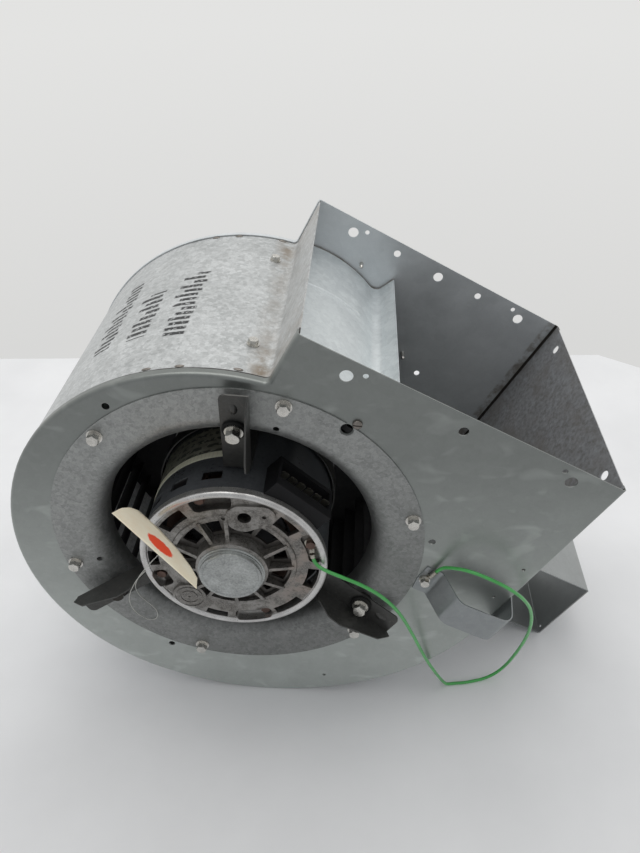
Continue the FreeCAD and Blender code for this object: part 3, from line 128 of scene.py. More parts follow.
class Shade:
    """One procedural material: short calls that add nodes and return their outputs."""

    def __init__(self, name, metallic=0.0, roughness=0.5):
        self.material = bpy.data.materials.new(name)
        self.material.use_nodes = True
        self.tree = self.material.node_tree
        self.shader = self.tree.nodes["Principled BSDF"]
        self.shader.inputs["Metallic"].default_value = metallic
        self.shader.inputs["Roughness"].default_value = roughness
        self.place = self.add("ShaderNodeTexCoord").outputs["Object"]

    def add(self, kind, links=(), **settings):
        node = self.tree.nodes.new(kind)
        for key, value in settings.items():
            setattr(node, key, value)
        for key, value in dict(links).items():
            self.feed(node.inputs[key], value)
        return node

    def feed(self, socket, value):
        if isinstance(value, bpy.types.NodeSocket):
            self.tree.links.new(value, socket)
        else:
            socket.default_value = value

    def noise(self, size, detail=3.0, rough=0.55, place=None, distortion=0.0):
        """Cloudy value from 0 to 1, mostly near 0.5, with features about size metres across."""
        node = self.add("ShaderNodeTexNoise", {
            "Vector": place or self.place, "Scale": 1 / size, "Detail": detail, "Roughness": rough,
            "Distortion": distortion})
        return node.outputs["Fac"]

    def cells(self, size, place):
        """One grey value for each cell of about size metres across."""
        cell = self.add("ShaderNodeTexVoronoi", {"Vector": place, "Scale": 1 / size, "Randomness": 1.0})
        return self.add("ShaderNodeSeparateColor", {"Color": cell.outputs["Color"]}).outputs["Red"]

    def math(self, kind, a, b=0.0, clamp=False):
        return self.add("ShaderNodeMath", {0: a, 1: b}, operation=kind, use_clamp=clamp).outputs[0]

    def span(self, value, low, high, to_low=0.0, to_high=1.0):
        """Straight ramp from to_low at low to to_high at high, flat beyond them."""
        node = self.add("ShaderNodeMapRange", {
            "Value": value, "From Min": low, "From Max": high, "To Min": to_low, "To Max": to_high})
        return node.outputs["Result"]

    def fade(self, value, low, high):
        """Straight ramp from 1 at low to 0 at high."""
        return self.span(value, low, high, 1.0, 0.0)

    def mix(self, factor, a, b, kind="MIX"):
        node = self.add("ShaderNodeMix", data_type="RGBA", blend_type=kind)
        self.feed(node.inputs["Factor"], factor)
        self.feed(node.inputs[6], a if isinstance(a, bpy.types.NodeSocket) else (*a, 1))
        self.feed(node.inputs[7], b if isinstance(b, bpy.types.NodeSocket) else (*b, 1))
        return node.outputs[2]

    def scaled(self, color, factor):
        """The colour multiplied by a plain number."""
        return self.mix(1.0, color, (factor, factor, factor), "MULTIPLY")

    def coordinate(self, axis):
        """One of x, y and z, in metres."""
        return self.add("ShaderNodeSeparateXYZ", {"Vector": self.place}).outputs[axis]

    def radius(self):
        """Distance from the wheel's axis."""
        x, z = self.coordinate(0), self.coordinate(2)
        return self.math("SQRT", self.math("ADD", self.math("MULTIPLY", x, x), self.math("MULTIPLY", z, z)))

    def stretched(self, x, y, z):
        """Place with each axis multiplied."""
        return self.add("ShaderNodeMapping", {"Vector": self.place, "Scale": (x, y, z)}).outputs["Vector"]

    def color(self, value):
        self.feed(self.shader.inputs["Base Color"], value)

    def rough(self, value):
        self.feed(self.shader.inputs["Roughness"], value)

    def bump(self, height, distance, strength=1.0):
        node = self.add("ShaderNodeBump", {"Height": height, "Distance": distance, "Strength": strength})
        self.feed(self.shader.inputs["Normal"], node.outputs["Normal"])


def galvanised(name, dark, light, size, spangle, roughness, metallic, stain=None, smudges=0.0, over=None):
    """Zinc-coated sheet: crystal patches, fine grain, cloudy oxide, optional warm stain and pale smudges."""
    s = Shade(name, metallic, roughness)
    wander = s.add("ShaderNodeTexNoise", {"Vector": s.place, "Scale": 1.6 / size, "Detail": 2.0})
    offset = s.add("ShaderNodeVectorMath", {0: wander.outputs["Color"], 1: (size * 0.7,) * 3},
                   operation="MULTIPLY").outputs[0]
    bent = s.add("ShaderNodeVectorMath", {0: s.place, 1: offset}, operation="ADD").outputs[0]
    patches = s.cells(size, bent)
    small = s.cells(size * 0.37, bent)
    clouds = s.noise(38 * MM, 4.0, 0.6)
    grain = s.noise(0.9 * MM, 2.0)
    value = s.math("ADD", s.math("MULTIPLY", patches, 0.5 * spangle),
                   s.math("MULTIPLY", small, 0.28 * spangle))
    value = s.math("ADD", value, s.span(clouds, 0.3, 0.7, -0.16, 0.16))
    value = s.math("ADD", value, s.span(grain, 0.3, 0.7, -0.05, 0.05))
    value = s.math("ADD", value, 0.5 - 0.39 * spangle)
    paint = s.mix(s.math("ADD", value, 0.0, clamp=True), dark, light)
    if smudges:
        smear = s.span(s.noise(26 * MM, 2.0, 0.4, s.stretched(1, 1, 1.8), 0.6), 0.58, 0.80)
        paint = s.mix(s.math("MULTIPLY", smear, smudges), paint, [c * 1.25 for c in light])
    if stain:
        paint = s.mix(stain(s), paint, (0.23, 0.17, 0.11))
    if over:
        paint = over(s, paint)
    s.color(paint)
    s.rough(s.math("ADD", s.span(patches, 0, 1, roughness - 0.07 * spangle, roughness + 0.07 * spangle),
                   s.span(clouds, 0.3, 0.7, -0.04, 0.05)))
    s.bump(s.math("ADD", s.math("MULTIPLY", grain, 0.4), patches), 0.05 * MM, 0.25)
    return s.material


def plain_metal(name, base, roughness, metallic=1.0, size=1.2 * MM, vary=0.2, bump=0.04 * MM, worn=None,
                over=None):
    """Metal with fine tarnish and small marks."""
    s = Shade(name, metallic, roughness)
    fine = s.noise(size, 4.0, 0.65)
    broad = s.noise(size * 9, 3.0)
    value = s.math("ADD", s.math("MULTIPLY", fine, 0.6), s.math("MULTIPLY", broad, 0.4))
    low = [c * (1 - vary) for c in base]
    high = [min(1, c * (1 + vary)) for c in base]
    paint = s.mix(s.span(value, 0.35, 0.65), low, high)
    if worn:
        paint = s.mix(s.span(s.noise(3 * MM, 5.0, 0.7), 0.6, 0.72), paint, worn)
    if over:
        paint = over(s, paint)
    s.color(paint)
    s.rough(s.span(value, 0.3, 0.7, roughness - 0.08, roughness + 0.1))
    s.bump(fine, bump, 0.5)
    return s.material


def smooth_plastic(name, base, roughness, sheen=0.0, dull=False):
    """Moulded plastic, rubber or insulation with a fine grain."""
    s = Shade(name, 0.0, roughness)
    fine = s.noise(0.6 * MM, 3.0)
    broad = s.noise(14 * MM, 3.0)
    s.color(s.mix(s.span(broad, 0.3, 0.7), [c * 0.88 for c in base], [c * 1.12 for c in base]))
    s.rough(s.span(fine, 0.3, 0.7, roughness - 0.05, roughness + 0.08))
    s.bump(fine, 0.03 * MM, 0.4)
    if sheen:
        s.shader.inputs["Coat Weight"].default_value = sheen
    if dull:
        s.shader.inputs["Specular IOR Level"].default_value = 0.15
    return s.material


def square_place(s):
    """The place in the housing's square frame: across the outlet, and along its air."""
    x, z = s.coordinate(0), s.coordinate(2)
    across = s.math("ADD", s.math("MULTIPLY", x, math.cos(TILT)), s.math("MULTIPLY", z, -math.sin(TILT)))
    along = s.math("ADD", s.math("MULTIPLY", x, math.sin(TILT)), s.math("MULTIPLY", z, math.cos(TILT)))
    return across, along


def both(s, *masks):
    """All the masks multiplied together."""
    product = masks[0]
    for mask in masks[1:]:
        product = s.math("MULTIPLY", product, mask, clamp=True)
    return product


def near_fold(s):
    """Brown bloom along the wrapper's fold, strongest near its ends, and in the outlet's far corner."""
    across, along = square_place(s)
    band = s.fade(s.math("ABSOLUTE", s.math("SUBTRACT", across, WRAPPER_FOLD)), 1 * MM, 12 * MM)
    depth = s.math("ABSOLUTE", s.math("SUBTRACT", s.coordinate(1), HOUSING_MIDDLE))
    ends = s.span(depth, 50 * MM, 105 * MM, 0.35, 1.0)
    patchy = s.span(s.noise(11 * MM, 4.0, 0.65), 0.34, 0.6)
    bloom = both(s, band, s.span(along, 100 * MM, 120 * MM), ends, patchy)
    corner = both(s, s.span(across, 215.5 * MM, 216.5 * MM), s.span(s.coordinate(1), 222 * MM, 232 * MM),
                  patchy)
    return s.math("MULTIPLY", s.math("MAXIMUM", bloom, corner), 0.85)


STENCIL_ROWS = ((127.3, 52, 158, 7.6), (138.8, 62, 136, 8.2), (151.0, 66, 180, 7.1))


def between(s, value, low, high, edge=1 * MM):
    """1 from low to high, fading to 0 at them over edge."""
    return both(s, s.span(value, low, low + edge), s.fade(value, high - edge, high))


def stencil(s, paint):
    """Worn ink bars on the scroll, standing in for a stencilled marking.

    Each row has its angle in degrees, its first and last depth in mm, and its bars' pitch in mm.
    """
    across, along = square_place(s)
    centre_across, centre_along = SCROLL_CENTRE
    angle = s.math("ARCTAN2", s.math("SUBTRACT", along, centre_along),
                   s.math("SUBTRACT", across, centre_across))
    deep = s.coordinate(1)
    ink = None
    for turn, first, last, pitch in STENCIL_ROWS:
        slot = s.math("DIVIDE", deep, pitch * MM)
        chance = s.add("ShaderNodeTexWhiteNoise", {"W": s.math("FLOOR", slot)}, noise_dimensions="1D")
        letter = chance.outputs[0]
        from_middle = s.math("ABSOLUTE", s.math("SUBTRACT", s.math("FRACT", slot), 0.5))
        stroke = s.fade(from_middle, 0.26, 0.32)
        shift = s.math("SUBTRACT", angle, math.radians(turn))
        centre = s.math("MULTIPLY", s.math("SUBTRACT", letter, 0.5), 0.05)
        reach = s.span(letter, 0.0, 1.0, 0.035, 0.062)
        past_end = s.math("SUBTRACT", s.math("ABSOLUTE", s.math("SUBTRACT", shift, centre)), reach)
        tall = s.fade(past_end, -0.004, 0.004)
        bars = both(s, stroke, tall, between(s, deep, first * MM, last * MM))
        ink = bars if ink is None else s.math("MAXIMUM", ink, bars)
    worn = s.span(s.noise(2.4 * MM, 3.0), 0.36, 0.46, 0.15, 1.0)
    return s.mix(s.math("MULTIPLY", ink, worn), paint, (0.035, 0.036, 0.038))


def inner_wall(s, paint):
    """Painted shade with a brownish mottle on the face inside the outlet's straight wall."""
    across, _ = square_place(s)
    face = s.fade(across, OUTLET_WALL_INSIDE - 0.05 * MM, OUTLET_WALL_INSIDE + 0.05 * MM)
    inside = both(s, s.span(across, 216.0 * MM, 216.5 * MM), face)
    mottle = s.span(s.noise(4 * MM, 4.0, 0.65), 0.28, 0.70)
    # painted shade: dark mottled colours for the inner face, which lies in shade
    brown = s.mix(mottle, (0.20, 0.196, 0.19), (0.38, 0.393, 0.42))
    brown = s.mix(s.span(s.noise(30 * MM, 3.0), 0.45, 0.65, 0.0, 0.5), brown, (0.24, 0.225, 0.21))
    return s.mix(inside, paint, brown)


def seam_grime(s, paint):
    """Dirt in the line where the wrapper meets both rolled rims."""
    deep = s.coordinate(1)
    front = s.fade(deep, 9.4 * MM, 10.0 * MM)
    rear = s.span(deep, 228.4 * MM, 229.8 * MM)
    patchy = s.span(s.noise(14 * MM, 4.0, 0.65), 0.3, 0.5, 0.6, 1.0)
    return s.mix(both(s, s.math("MAXIMUM", front, rear), patchy), paint, (0.03, 0.026, 0.024))


def wrapper_paint(s, paint):
    """Everything that marks the wrapper, with the painted shade inside the outlet's wall."""
    return inner_wall(s, seam_grime(s, stencil(s, paint)))


def rear_paint(s, paint):
    """Dark seam and rusty patches inside, beside the outlet's straight wall; duller metal outside."""
    across, _ = square_place(s)
    patches = both(s, s.span(across, 206.5 * MM, 208.5 * MM), s.span(s.noise(13 * MM, 4.0, 0.7), 0.42, 0.62))
    inner = s.mix(s.math("MULTIPLY", patches, 0.7), paint, (0.24, 0.195, 0.15))
    inner = s.mix(s.span(across, 214.9 * MM, 215.3 * MM), inner, (0.05, 0.044, 0.038))
    outside = s.span(s.coordinate(1), REAR_PLATE_MIDDLE, REAR_PLATE_MIDDLE + 0.3 * MM)
    return s.mix(outside, inner, s.scaled(paint, 0.5))


def front_reflection_and_shade(s, paint):
    """Painted reflection and shade: brighter metal low on the plate, where it reflects the bright cloth,
    darker metal near the outlet.
    """
    # painted light: the colour ramps from bright at the bottom to dark at the top
    height = s.span(s.coordinate(2), -170 * MM, 90 * MM)
    return s.mix(height, s.scaled(paint, 1.70), s.scaled(paint, 0.80))


def ring_painted_shade(s, paint):
    """Painted shade and light: darker metal in the throat of the inlet ring and towards its lower right,
    lighter metal at its top left.
    """
    up_left = s.math("SUBTRACT", s.coordinate(2), s.math("MULTIPLY", s.coordinate(0), 0.5))
    paint = s.mix(s.span(up_left, -140 * MM, 140 * MM), s.scaled(paint, 0.80), s.scaled(paint, 1.16))
    # painted shade inside the ring's throat
    return s.mix(s.fade(s.radius(), 106 * MM, 120 * MM), paint, s.scaled(paint, 0.78))


def cutoff_paint(s, paint):
    """Rust line where the cutoff meets the rear plate."""
    patchy = s.span(s.noise(9 * MM, 4.0), 0.3, 0.5, 0.5, 1.0)
    line = both(s, s.span(s.coordinate(1), 232.5 * MM, 234.5 * MM), patchy)
    return s.mix(line, paint, (0.14, 0.10, 0.07))


def bracket_painted_shade(s, paint):
    """Painted shade: darker metal everywhere below the bracket's top sheet, which shades it."""
    _, along = square_place(s)
    # painted shade under the top sheet
    return s.mix(s.fade(along, 29.8 * MM, 30.4 * MM), paint, s.scaled(paint, 0.72))


def screw_paint(s, paint):
    """The screw of the left arm, painted near black."""
    return s.mix(s.fade(s.coordinate(0), -90 * MM, -80 * MM), paint, (0.045, 0.042, 0.038))


def cast_material():
    """Cast aluminium: smooth rim, duller web, painted shade in the recesses, a warm bloom on one side."""
    s = Shade("cast_aluminium", 0.9, 0.4)
    fine = s.noise(0.9 * MM, 4.0, 0.65)
    broad = s.noise(9 * MM, 3.0)
    web = s.mix(s.span(fine, 0.38, 0.62), (0.13, 0.124, 0.116), (0.29, 0.278, 0.262))
    web = s.mix(s.span(broad, 0.44, 0.60, 0.0, 0.6), web, (0.38, 0.37, 0.355))
    bloom = both(s, s.span(s.coordinate(0), 20 * MM, 50 * MM), s.span(broad, 0.42, 0.6))
    web = s.mix(s.math("MULTIPLY", bloom, 0.6), web, (0.31, 0.25, 0.215))
    soot = s.span(s.noise(4 * MM, 4.0, 0.7), 0.52, 0.66, 0.0, 0.6)
    web = s.mix(soot, web, (0.07, 0.064, 0.058))
    # painted shade: the recess floors, deeper than the web, darkened
    deep = s.span(s.coordinate(1), -20.7 * MM, -19.2 * MM)
    web = s.mix(s.math("MULTIPLY", deep, 0.7), web, (0.10, 0.094, 0.088))
    rim = s.span(s.radius(), 64.4 * MM, 65.6 * MM)
    polish = s.mix(s.span(broad, 0.35, 0.65), (0.54, 0.53, 0.52), (0.66, 0.655, 0.645))
    s.color(s.mix(rim, web, polish))
    s.rough(s.math("SUBTRACT", s.span(fine, 0.3, 0.7, 0.36, 0.52), s.math("MULTIPLY", rim, 0.12)))
    height = s.math("ADD", fine, s.math("MULTIPLY", broad, 0.6))
    rough_cast = s.math("SUBTRACT", 1.0, s.math("MULTIPLY", rim, 0.85))
    s.bump(s.math("MULTIPLY", height, rough_cast), 0.12 * MM, 0.7)
    return s.material


def label_material():
    """Dull foil label: worn dark field, partly painted shade, with plain dark bars and a bright band along
    its front edge.
    """
    s = Shade("label_foil", 0.1, 0.45)
    y = s.coordinate(1)
    angle = s.math("ARCTAN2", s.coordinate(2), s.coordinate(0))
    # the field's dark olive tone is partly the foil's own and partly painted shade
    field = s.mix(s.span(s.noise(6 * MM, 3.0), 0.3, 0.7), (0.16, 0.16, 0.125), (0.30, 0.295, 0.235))
    row = s.math("ABSOLUTE", s.math("SUBTRACT", s.math("FRACT", s.math("DIVIDE", y, 7.5 * MM)), 0.5))
    word = s.span(s.noise(3.2 * MM, 1.0), 0.46, 0.5)
    field = s.mix(both(s, s.span(row, 0.26, 0.30, 0.85, 0.0), word), field, (0.03, 0.03, 0.027))
    band = s.fade(y, 25.0 * MM, 25.5 * MM)
    ticks = s.span(s.math("FRACT", s.math("MULTIPLY", angle, 22.0)), 0.7, 0.75)
    ivory = s.mix(s.math("MULTIPLY", ticks, 0.10), (0.86, 0.84, 0.66), (0.2, 0.2, 0.17))
    s.color(s.mix(band, field, ivory))
    s.bump(s.noise(0.8 * MM, 2.0), 0.02 * MM, 0.4)
    return s.material


def card_material():
    """Manila card with a painted oval, placed by the tag's own UV map."""
    s = Shade("manila_card_spot", 0.0, 0.65)
    uv = s.add("ShaderNodeUVMap", uv_map="card").outputs["UV"]
    parts = s.add("ShaderNodeSeparateXYZ", {"Vector": uv})
    du = s.math("MULTIPLY", s.math("SUBTRACT", parts.outputs[0], 0.411), 8.0)
    dv = s.math("MULTIPLY", s.math("SUBTRACT", parts.outputs[1], 0.109), 15.0)
    reach = s.math("ADD", s.math("MULTIPLY", du, du), s.math("MULTIPLY", dv, dv))
    ragged = s.span(s.noise(2 * MM), 0.3, 0.7, -0.12, 0.12)
    spot = s.fade(s.math("ADD", reach, ragged), 0.72, 1.0)
    base = s.mix(s.span(s.noise(9 * MM, 4.0), 0.3, 0.7), (0.96, 0.85, 0.65), (1.0, 0.93, 0.75))
    s.color(s.mix(spot, base, (0.98, 0.10, 0.04)))
    fibres = s.noise(0.5 * MM, 4.0)
    s.bump(fibres, 0.03 * MM, 0.5)
    return s.material


def make_materials():
    """Every material of the object, by a short name."""
    made = {}
    made["front"] = galvanised("front_plate_zinc", (0.235, 0.25, 0.24), (0.345, 0.365, 0.352), 7 * MM, 0.3,
                               roughness=0.38, metallic=0.75, smudges=0.65, over=front_reflection_and_shade)
    made["rear"] = galvanised("rear_plate_zinc", (0.60, 0.63, 0.65), (0.84, 0.87, 0.89), 9 * MM, 0.3,
                              roughness=0.42, metallic=0.6, over=rear_paint)
    made["wrapper"] = galvanised("wrapper_zinc", (0.38, 0.395, 0.395), (0.70, 0.715, 0.72), 3.2 * MM, 1.0,
                                 roughness=0.5, metallic=0.45, stain=near_fold, over=wrapper_paint)
    made["cutoff"] = galvanised("cutoff_zinc", (0.56, 0.60, 0.615), (0.82, 0.86, 0.87), 5 * MM, 0.6,
                                roughness=0.42, metallic=0.6, over=cutoff_paint)
    made["ring"] = galvanised("ring_zinc", (0.185, 0.192, 0.187), (0.38, 0.387, 0.38), 2.6 * MM, 0.9,
                              roughness=0.44, metallic=0.6, over=ring_painted_shade)
    # the wheel's zinc is painted near black, standing in for the shade inside the housing
    made["wheel"] = galvanised("wheel_zinc_painted_shade", (0.02, 0.02, 0.021), (0.055, 0.055, 0.057), 4 * MM, 0.7,
                               roughness=0.55, metallic=0.5)
    made["bracket"] = galvanised("bracket_zinc", (0.30, 0.31, 0.31), (0.46, 0.48, 0.48), 6 * MM, 0.3,
                                 roughness=0.4, metallic=0.6, over=bracket_painted_shade)
    made["strap"] = galvanised("strap_zinc", (0.23, 0.245, 0.25), (0.36, 0.38, 0.39), 6 * MM, 0.4,
                               roughness=0.34, metallic=0.7)
    made["screw"] = plain_metal("zinc_plate", (0.62, 0.605, 0.57), 0.24, 1.0, 0.7 * MM, 0.3)
    made["arm_screw"] = plain_metal("zinc_plate_arm", (0.62, 0.605, 0.57), 0.24, 1.0, 0.7 * MM, 0.3,
                                    over=screw_paint)
    made["dull_screw"] = plain_metal("tarnished_zinc", (0.24, 0.22, 0.20), 0.36, 0.9, 0.7 * MM, 0.3)
    made["rusty"] = plain_metal("rusty_steel", (0.13, 0.085, 0.07), 0.5, 0.7, 0.8 * MM, 0.35)
    made["shell"] = plain_metal("black_enamel", (0.055, 0.059, 0.064), 0.32, 0.0, 2 * MM, 0.3, 0.03 * MM)
    made["arm"] = plain_metal("dark_steel", (0.070, 0.070, 0.067), 0.36, 0.6, 2.5 * MM, 0.22, 0.03 * MM,
                              worn=(0.13, 0.12, 0.11))
    made["cast"] = cast_material()
    made["cap"] = plain_metal("cap_zinc", (0.39, 0.405, 0.40), 0.38, 0.85, 1.4 * MM, 0.35)
    made["bright"] = plain_metal("ground_steel", (0.62, 0.62, 0.61), 0.22, 1.0, 0.6 * MM, 0.08, 0.01 * MM)
    made["core"] = plain_metal("laminations", (0.08, 0.08, 0.085), 0.5, 0.8, 1.0 * MM, 0.2)
    made["copper"] = plain_metal("varnished_copper", (0.07, 0.035, 0.022), 0.4, 0.4, 1.2 * MM, 0.3)
    made["black"] = smooth_plastic("black_moulding", (0.011, 0.011, 0.012), 0.5, dull=True)
    made["rubber"] = smooth_plastic("black_rubber", (0.014, 0.014, 0.014), 0.6, dull=True)
    made["tin"] = plain_metal("tinned_copper", (0.42, 0.40, 0.35), 0.3, 1.0, 0.8 * MM, 0.25)
    made["paper"] = label_material()
    made["green"] = smooth_plastic("green_insulation", (0.06, 0.40, 0.085), 0.3, sheen=0.4)
    made["wire"] = plain_metal("soft_wire", (0.60, 0.60, 0.56), 0.35, 0.8, 0.8 * MM, 0.15)
    made["card"] = card_material()
    return made


LOOK = make_materials()
NODE_LOOK = {
    "side_plate_front": "front", "side_plate_rear": "rear", "scroll_wrapper": "wrapper",
    "cutoff_plate": "cutoff", "inlet_ring_front": "ring", "inlet_ring_rear": "ring",
    "ring_screws_front": "screw", "ring_screws_rear": "screw", "wrapper_screws": "screw",
    "notch_screw": "dull_screw", "cutoff_screw": "screw", "wheel_ring_front": "wheel",
    "wheel_ring_rear": "wheel", "wheel_blades_front": "wheel", "wheel_blades_rear": "wheel",
    "wheel_centre_disc": "wheel", "wheel_hub": "wheel", "hub_set_screw": "screw",
    "motor_shaft": "bright", "motor_shell": "shell", "motor_bell_front": "cast", "motor_bell_rear": "cast",
    "bearing_front": "bright", "bearing_rear": "bright", "bearing_cap": "cap", "stator_core": "core",
    "stator_winding": "copper", "rotor": "core", "through_bolts": "rusty", "bolt_washers": "rusty",
    "bolt_nuts": "screw", "terminal_block": "black", "terminal_tabs": "tin", "motor_label": "paper",
    "motor_arm_top": "arm", "motor_arm_left": "arm", "motor_arm_right": "arm", "arm_grommets": "rubber",
    "arm_screws": "arm_screw", "mounting_band": "arm", "band_bolt": "screw", "band_nut": "screw",
    "support_bracket": "bracket", "bracket_screws": "screw", "capacitor_strap": "strap",
    "ring_terminal_motor": "tin", "ring_terminal_housing": "tin", "strap_screw": "screw",
    "ground_wire": "green", "tag_wire": "wire", "tag": "card",
}


def dress(obj, look):
    """Gives the object its one material."""
    obj.data.materials.clear()
    obj.data.materials.append(LOOK[look])


for name, look in NODE_LOOK.items():
    dress(NODES[name], look)
dress(ground_wire, "green")
dress(tag_wire, "wire")


# ---- added pieces and edges -----------------------------------------------------------------

def add_mesh(name, vertices, faces, look):
    """Smooth mesh piece, with its points in metres, that rides on the housing."""
    mesh = bpy.data.meshes.new(name)
    mesh.from_pydata(vertices, [], faces)
    mesh.update()
    mesh.polygons.foreach_set("use_smooth", [True] * len(mesh.polygons))
    obj = bpy.data.objects.new(name, mesh)
    bpy.context.scene.collection.objects.link(obj)
    mesh.materials.append(LOOK[look])
    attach(obj, "housing")
    return obj


# the tag in millimetres: the corner where its straight edge starts, the way that edge runs, a way across
TAG_CORNER = Vector((-71.9, -50.0, 74.2))
TAG_ALONG = Vector((54.3, -14.0, -56.0)).normalized()
TAG_ACROSS = Vector((5.0, 24.0, -16.0))
# its free edge, as places along and above the straight edge
TAG_TOP = [(0, 0), (4, 14), (9.5, 23.5), (16, 28.5), (35, 28.5), (55, 24.5), (70, 17.5), (77.5, 11),
           (78.5, -0.5)]
# how far the straight edge drops by its far end
TAG_DROP = 0.5
# UV units for each millimetre
TAG_UV = 0.01


def tag_top(u):
    """Height of the card's free edge at u, along its straight edge."""
    for (u0, v0), (u1, v1) in zip(TAG_TOP, TAG_TOP[1:]):
        if u <= u1:
            return v0 + (v1 - v0) * (u - u0) / (u1 - u0)
    return TAG_TOP[-1][1]


def make_tag():
    """Manila card, widest near its corner and tapering along its straight edge."""
    normal = TAG_ALONG.cross(TAG_ACROSS).normalized()
    across = normal.cross(TAG_ALONG)
    columns, rows = 52, 12
    length = TAG_TOP[-1][0]
    vertices, spots = [], []
    for i in range(columns + 1):
        u = length * i / columns
        low = -TAG_DROP * u / length
        for j in range(rows + 1):
            v = low + (tag_top(u) - low) * j / rows
            vertices.append((TAG_CORNER + TAG_ALONG * u + across * v + normal * 0.2) * MM)
            spots.append((u * TAG_UV, v * TAG_UV))
    faces = []
    for i in range(columns):
        for j in range(rows):
            a = i * (rows + 1) + j
            faces.append((a, a + 1, a + rows + 2, a + rows + 1))
    tag = add_mesh("paper_tag", vertices, faces, "card")
    layer = tag.data.uv_layers.new(name="card")
    for loop in tag.data.loops:
        layer.data[loop.index].uv = spots[loop.vertex_index]
    thick = tag.modifiers.new("thickness", "SOLIDIFY")
    thick.thickness = 0.35 * MM
    thick.offset = 0
    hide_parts("tag")
    return tag


def soften(name, width):
    """Small rounded edges on a CAD piece, so that they catch the light."""
    bevel = NODES[name].modifiers.new("soft_edges", "BEVEL")
    bevel.width = width
    bevel.segments = 2
    bevel.limit_method = "ANGLE"
    bevel.angle_limit = math.radians(38)
    bevel.use_clamp_overlap = True


SOFT_EDGES = {
    "motor_bell_front": 0.45, "ring_screws_front": 0.35, "arm_screws": 0.4, "strap_screw": 0.3,
    "notch_screw": 0.3, "motor_arm_top": 0.3, "motor_arm_left": 0.3, "motor_arm_right": 0.3,
    "capacitor_strap": 0.25, "support_bracket": 0.3, "terminal_block": 0.4, "wrapper_screws": 0.3,
}
for node_name, edge_width in SOFT_EDGES.items():
    soften(node_name, edge_width * MM)


# angle in degrees round the scroll's centre, and depth
DIMPLES = ((130.7, 11.5 * MM), (122.3, 11.0 * MM), (108.1, 11.5 * MM),
           (126.8, 228 * MM), (119.2, 228 * MM), (105.0, 228 * MM))


def make_dimples():
    """Lanced dimples along both edges of the scroll wrapper."""
    tilt = Matrix.Rotation(TILT, 3, "Y")
    centre_across, centre_along = SCROLL_CENTRE
    half_length, half_width = 3.4 * MM, 1.5 * MM
    foot, rise = 0.15 * MM, 0.85 * MM
    around, levels = 14, 4
    vertices, faces = [], []
    for turn, deep in DIMPLES:
        out = Vector((math.cos(math.radians(turn)), 0, math.sin(math.radians(turn))))
        side = Vector((-out.z, 0, out.x))
        centre = Vector((centre_across, deep, centre_along)) + out * WRAPPER_RADIUS
        base = len(vertices)
        for level in range(levels):
            climb = math.radians(90 * level / levels)
            spread = math.cos(climb)
            height = foot + rise * math.sin(climb)
            for step in range(around):
                way = 2 * math.pi * step / around
                spot = centre + side * (half_length * spread * math.cos(way)) + out * height
                spot.y += half_width * spread * math.sin(way)
                vertices.append(tilt @ spot)
        vertices.append(tilt @ (centre + out * (foot + rise)))
        top = len(vertices) - 1
        for level in range(levels - 1):
            for step in range(around):
                a, b = base + level * around + step, base + level * around + (step + 1) % around
                faces.append((a, b, b + around, a + around))
        last = base + (levels - 1) * around
        faces += [(last + step, last + (step + 1) % around, top) for step in range(around)]
    dimples = add_mesh("wrapper_dimples", vertices, faces, "dull_screw")


make_dimples()
tag = make_tag()


# ---- stage ----------------------------------------------------------------------------------

TABLE_CORNERS = [(-2.5, -2.0), (0.80, -2.0), (0.5272, 0.5865), (0.4717, 0.6217), (-0.2368, 0.573),
                 (-2.5, 0.42)]
CLOTH_DROP = 0.8


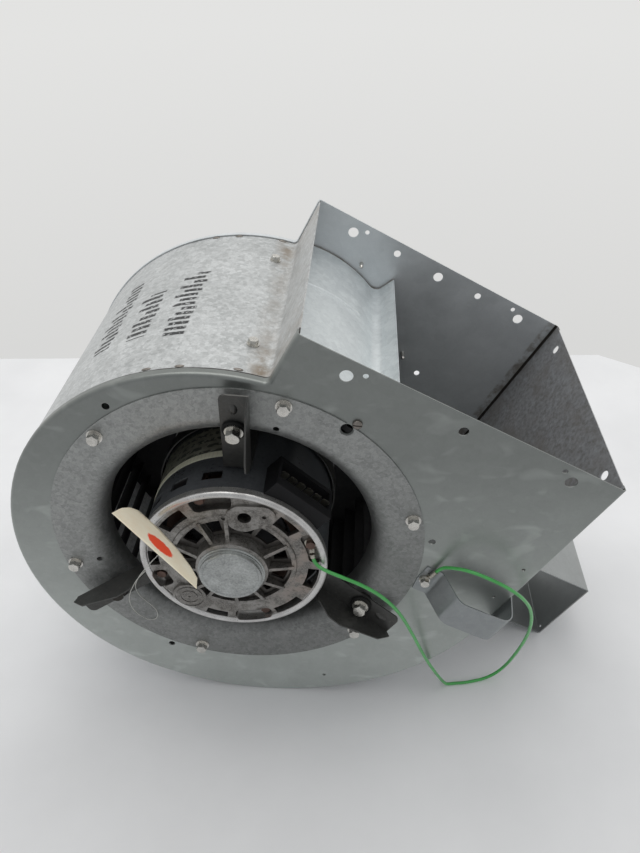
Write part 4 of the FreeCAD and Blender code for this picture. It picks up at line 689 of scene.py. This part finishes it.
def make_stage():
    """Table under a white cloth, with painted shade making it a little darker towards the viewer."""
    mesh = bpy.data.meshes.new("table")
    top = [Vector((x, y, BENCH)) for x, y in TABLE_CORNERS]
    drop = [point - Vector((0, 0, CLOTH_DROP)) for point in top]
    count = len(top)
    sides = [(i, (i + 1) % count, count + (i + 1) % count, count + i) for i in range(count)]
    mesh.from_pydata(top + drop, [], [tuple(range(count))] + sides)
    table = bpy.data.objects.new("table", mesh)
    bpy.context.scene.collection.objects.link(table)
    s = Shade("white_cloth", 0.0, 0.85)
    cloth = s.mix(s.span(s.noise(0.12, 4.0), 0.3, 0.7), (0.84, 0.845, 0.86), (0.90, 0.905, 0.92))
    # painted shade: the cloth darker towards the viewer, lighter far off
    s.color(s.mix(s.span(s.coordinate(1), -0.40, 0.25), s.scaled(cloth, 0.82), s.scaled(cloth, 1.05)))
    s.bump(s.noise(0.05, 3.0), 0.6 * MM, 0.3)
    mesh.materials.append(s.material)


def area_light(name, place, target, size, power, color):
    data = bpy.data.lights.new(name, "AREA")
    data.shape = "RECTANGLE"
    data.size, data.size_y = size
    data.energy = power
    data.color = color
    light = bpy.data.objects.new(name, data)
    light.location = place
    direction = Vector(target) - Vector(place)
    light.rotation_mode = "QUATERNION"
    light.rotation_quaternion = direction.to_track_quat("-Z", "Y")
    bpy.context.scene.collection.objects.link(light)


def make_light():
    """Pale room that is darker behind the viewer and below, and one broad lamp overhead."""
    world = bpy.data.worlds.new("world")
    world.use_nodes = True
    bpy.context.scene.world = world
    tree = world.node_tree
    background = tree.nodes["Background"]
    place = tree.nodes.new("ShaderNodeTexCoord")
    split = tree.nodes.new("ShaderNodeSeparateXYZ")
    tree.links.new(place.outputs["Generated"], split.inputs[0])

    def ramp(axis, low, high, to_low, to_high):
        node = tree.nodes.new("ShaderNodeMapRange")
        tree.links.new(split.outputs[axis], node.inputs["Value"])
        for key, value in (("From Min", low), ("From Max", high), ("To Min", to_low), ("To Max", to_high)):
            node.inputs[key].default_value = value
        return node.outputs["Result"]

    blend = tree.nodes.new("ShaderNodeMix")
    blend.data_type = "RGBA"
    blend.inputs[6].default_value = (0.50, 0.51, 0.52, 1)
    blend.inputs[7].default_value = (0.80, 0.80, 0.79, 1)
    tree.links.new(ramp("Y", -0.7, 0.25, 0.0, 1.0), blend.inputs["Factor"])
    tree.links.new(ramp("Z", -0.48, -0.15, 0.86, 0.96), background.inputs["Strength"])
    tree.links.new(blend.outputs[2], background.inputs["Color"])
    area_light("overhead", place=(-0.1, 0.35, 1.9), target=(0.05, 0.1, 0), size=(1.8, 1.4), power=13,
               color=(1.0, 0.99, 0.97))
    bpy.context.scene.view_settings.view_transform = "Standard"


make_stage()
make_light()
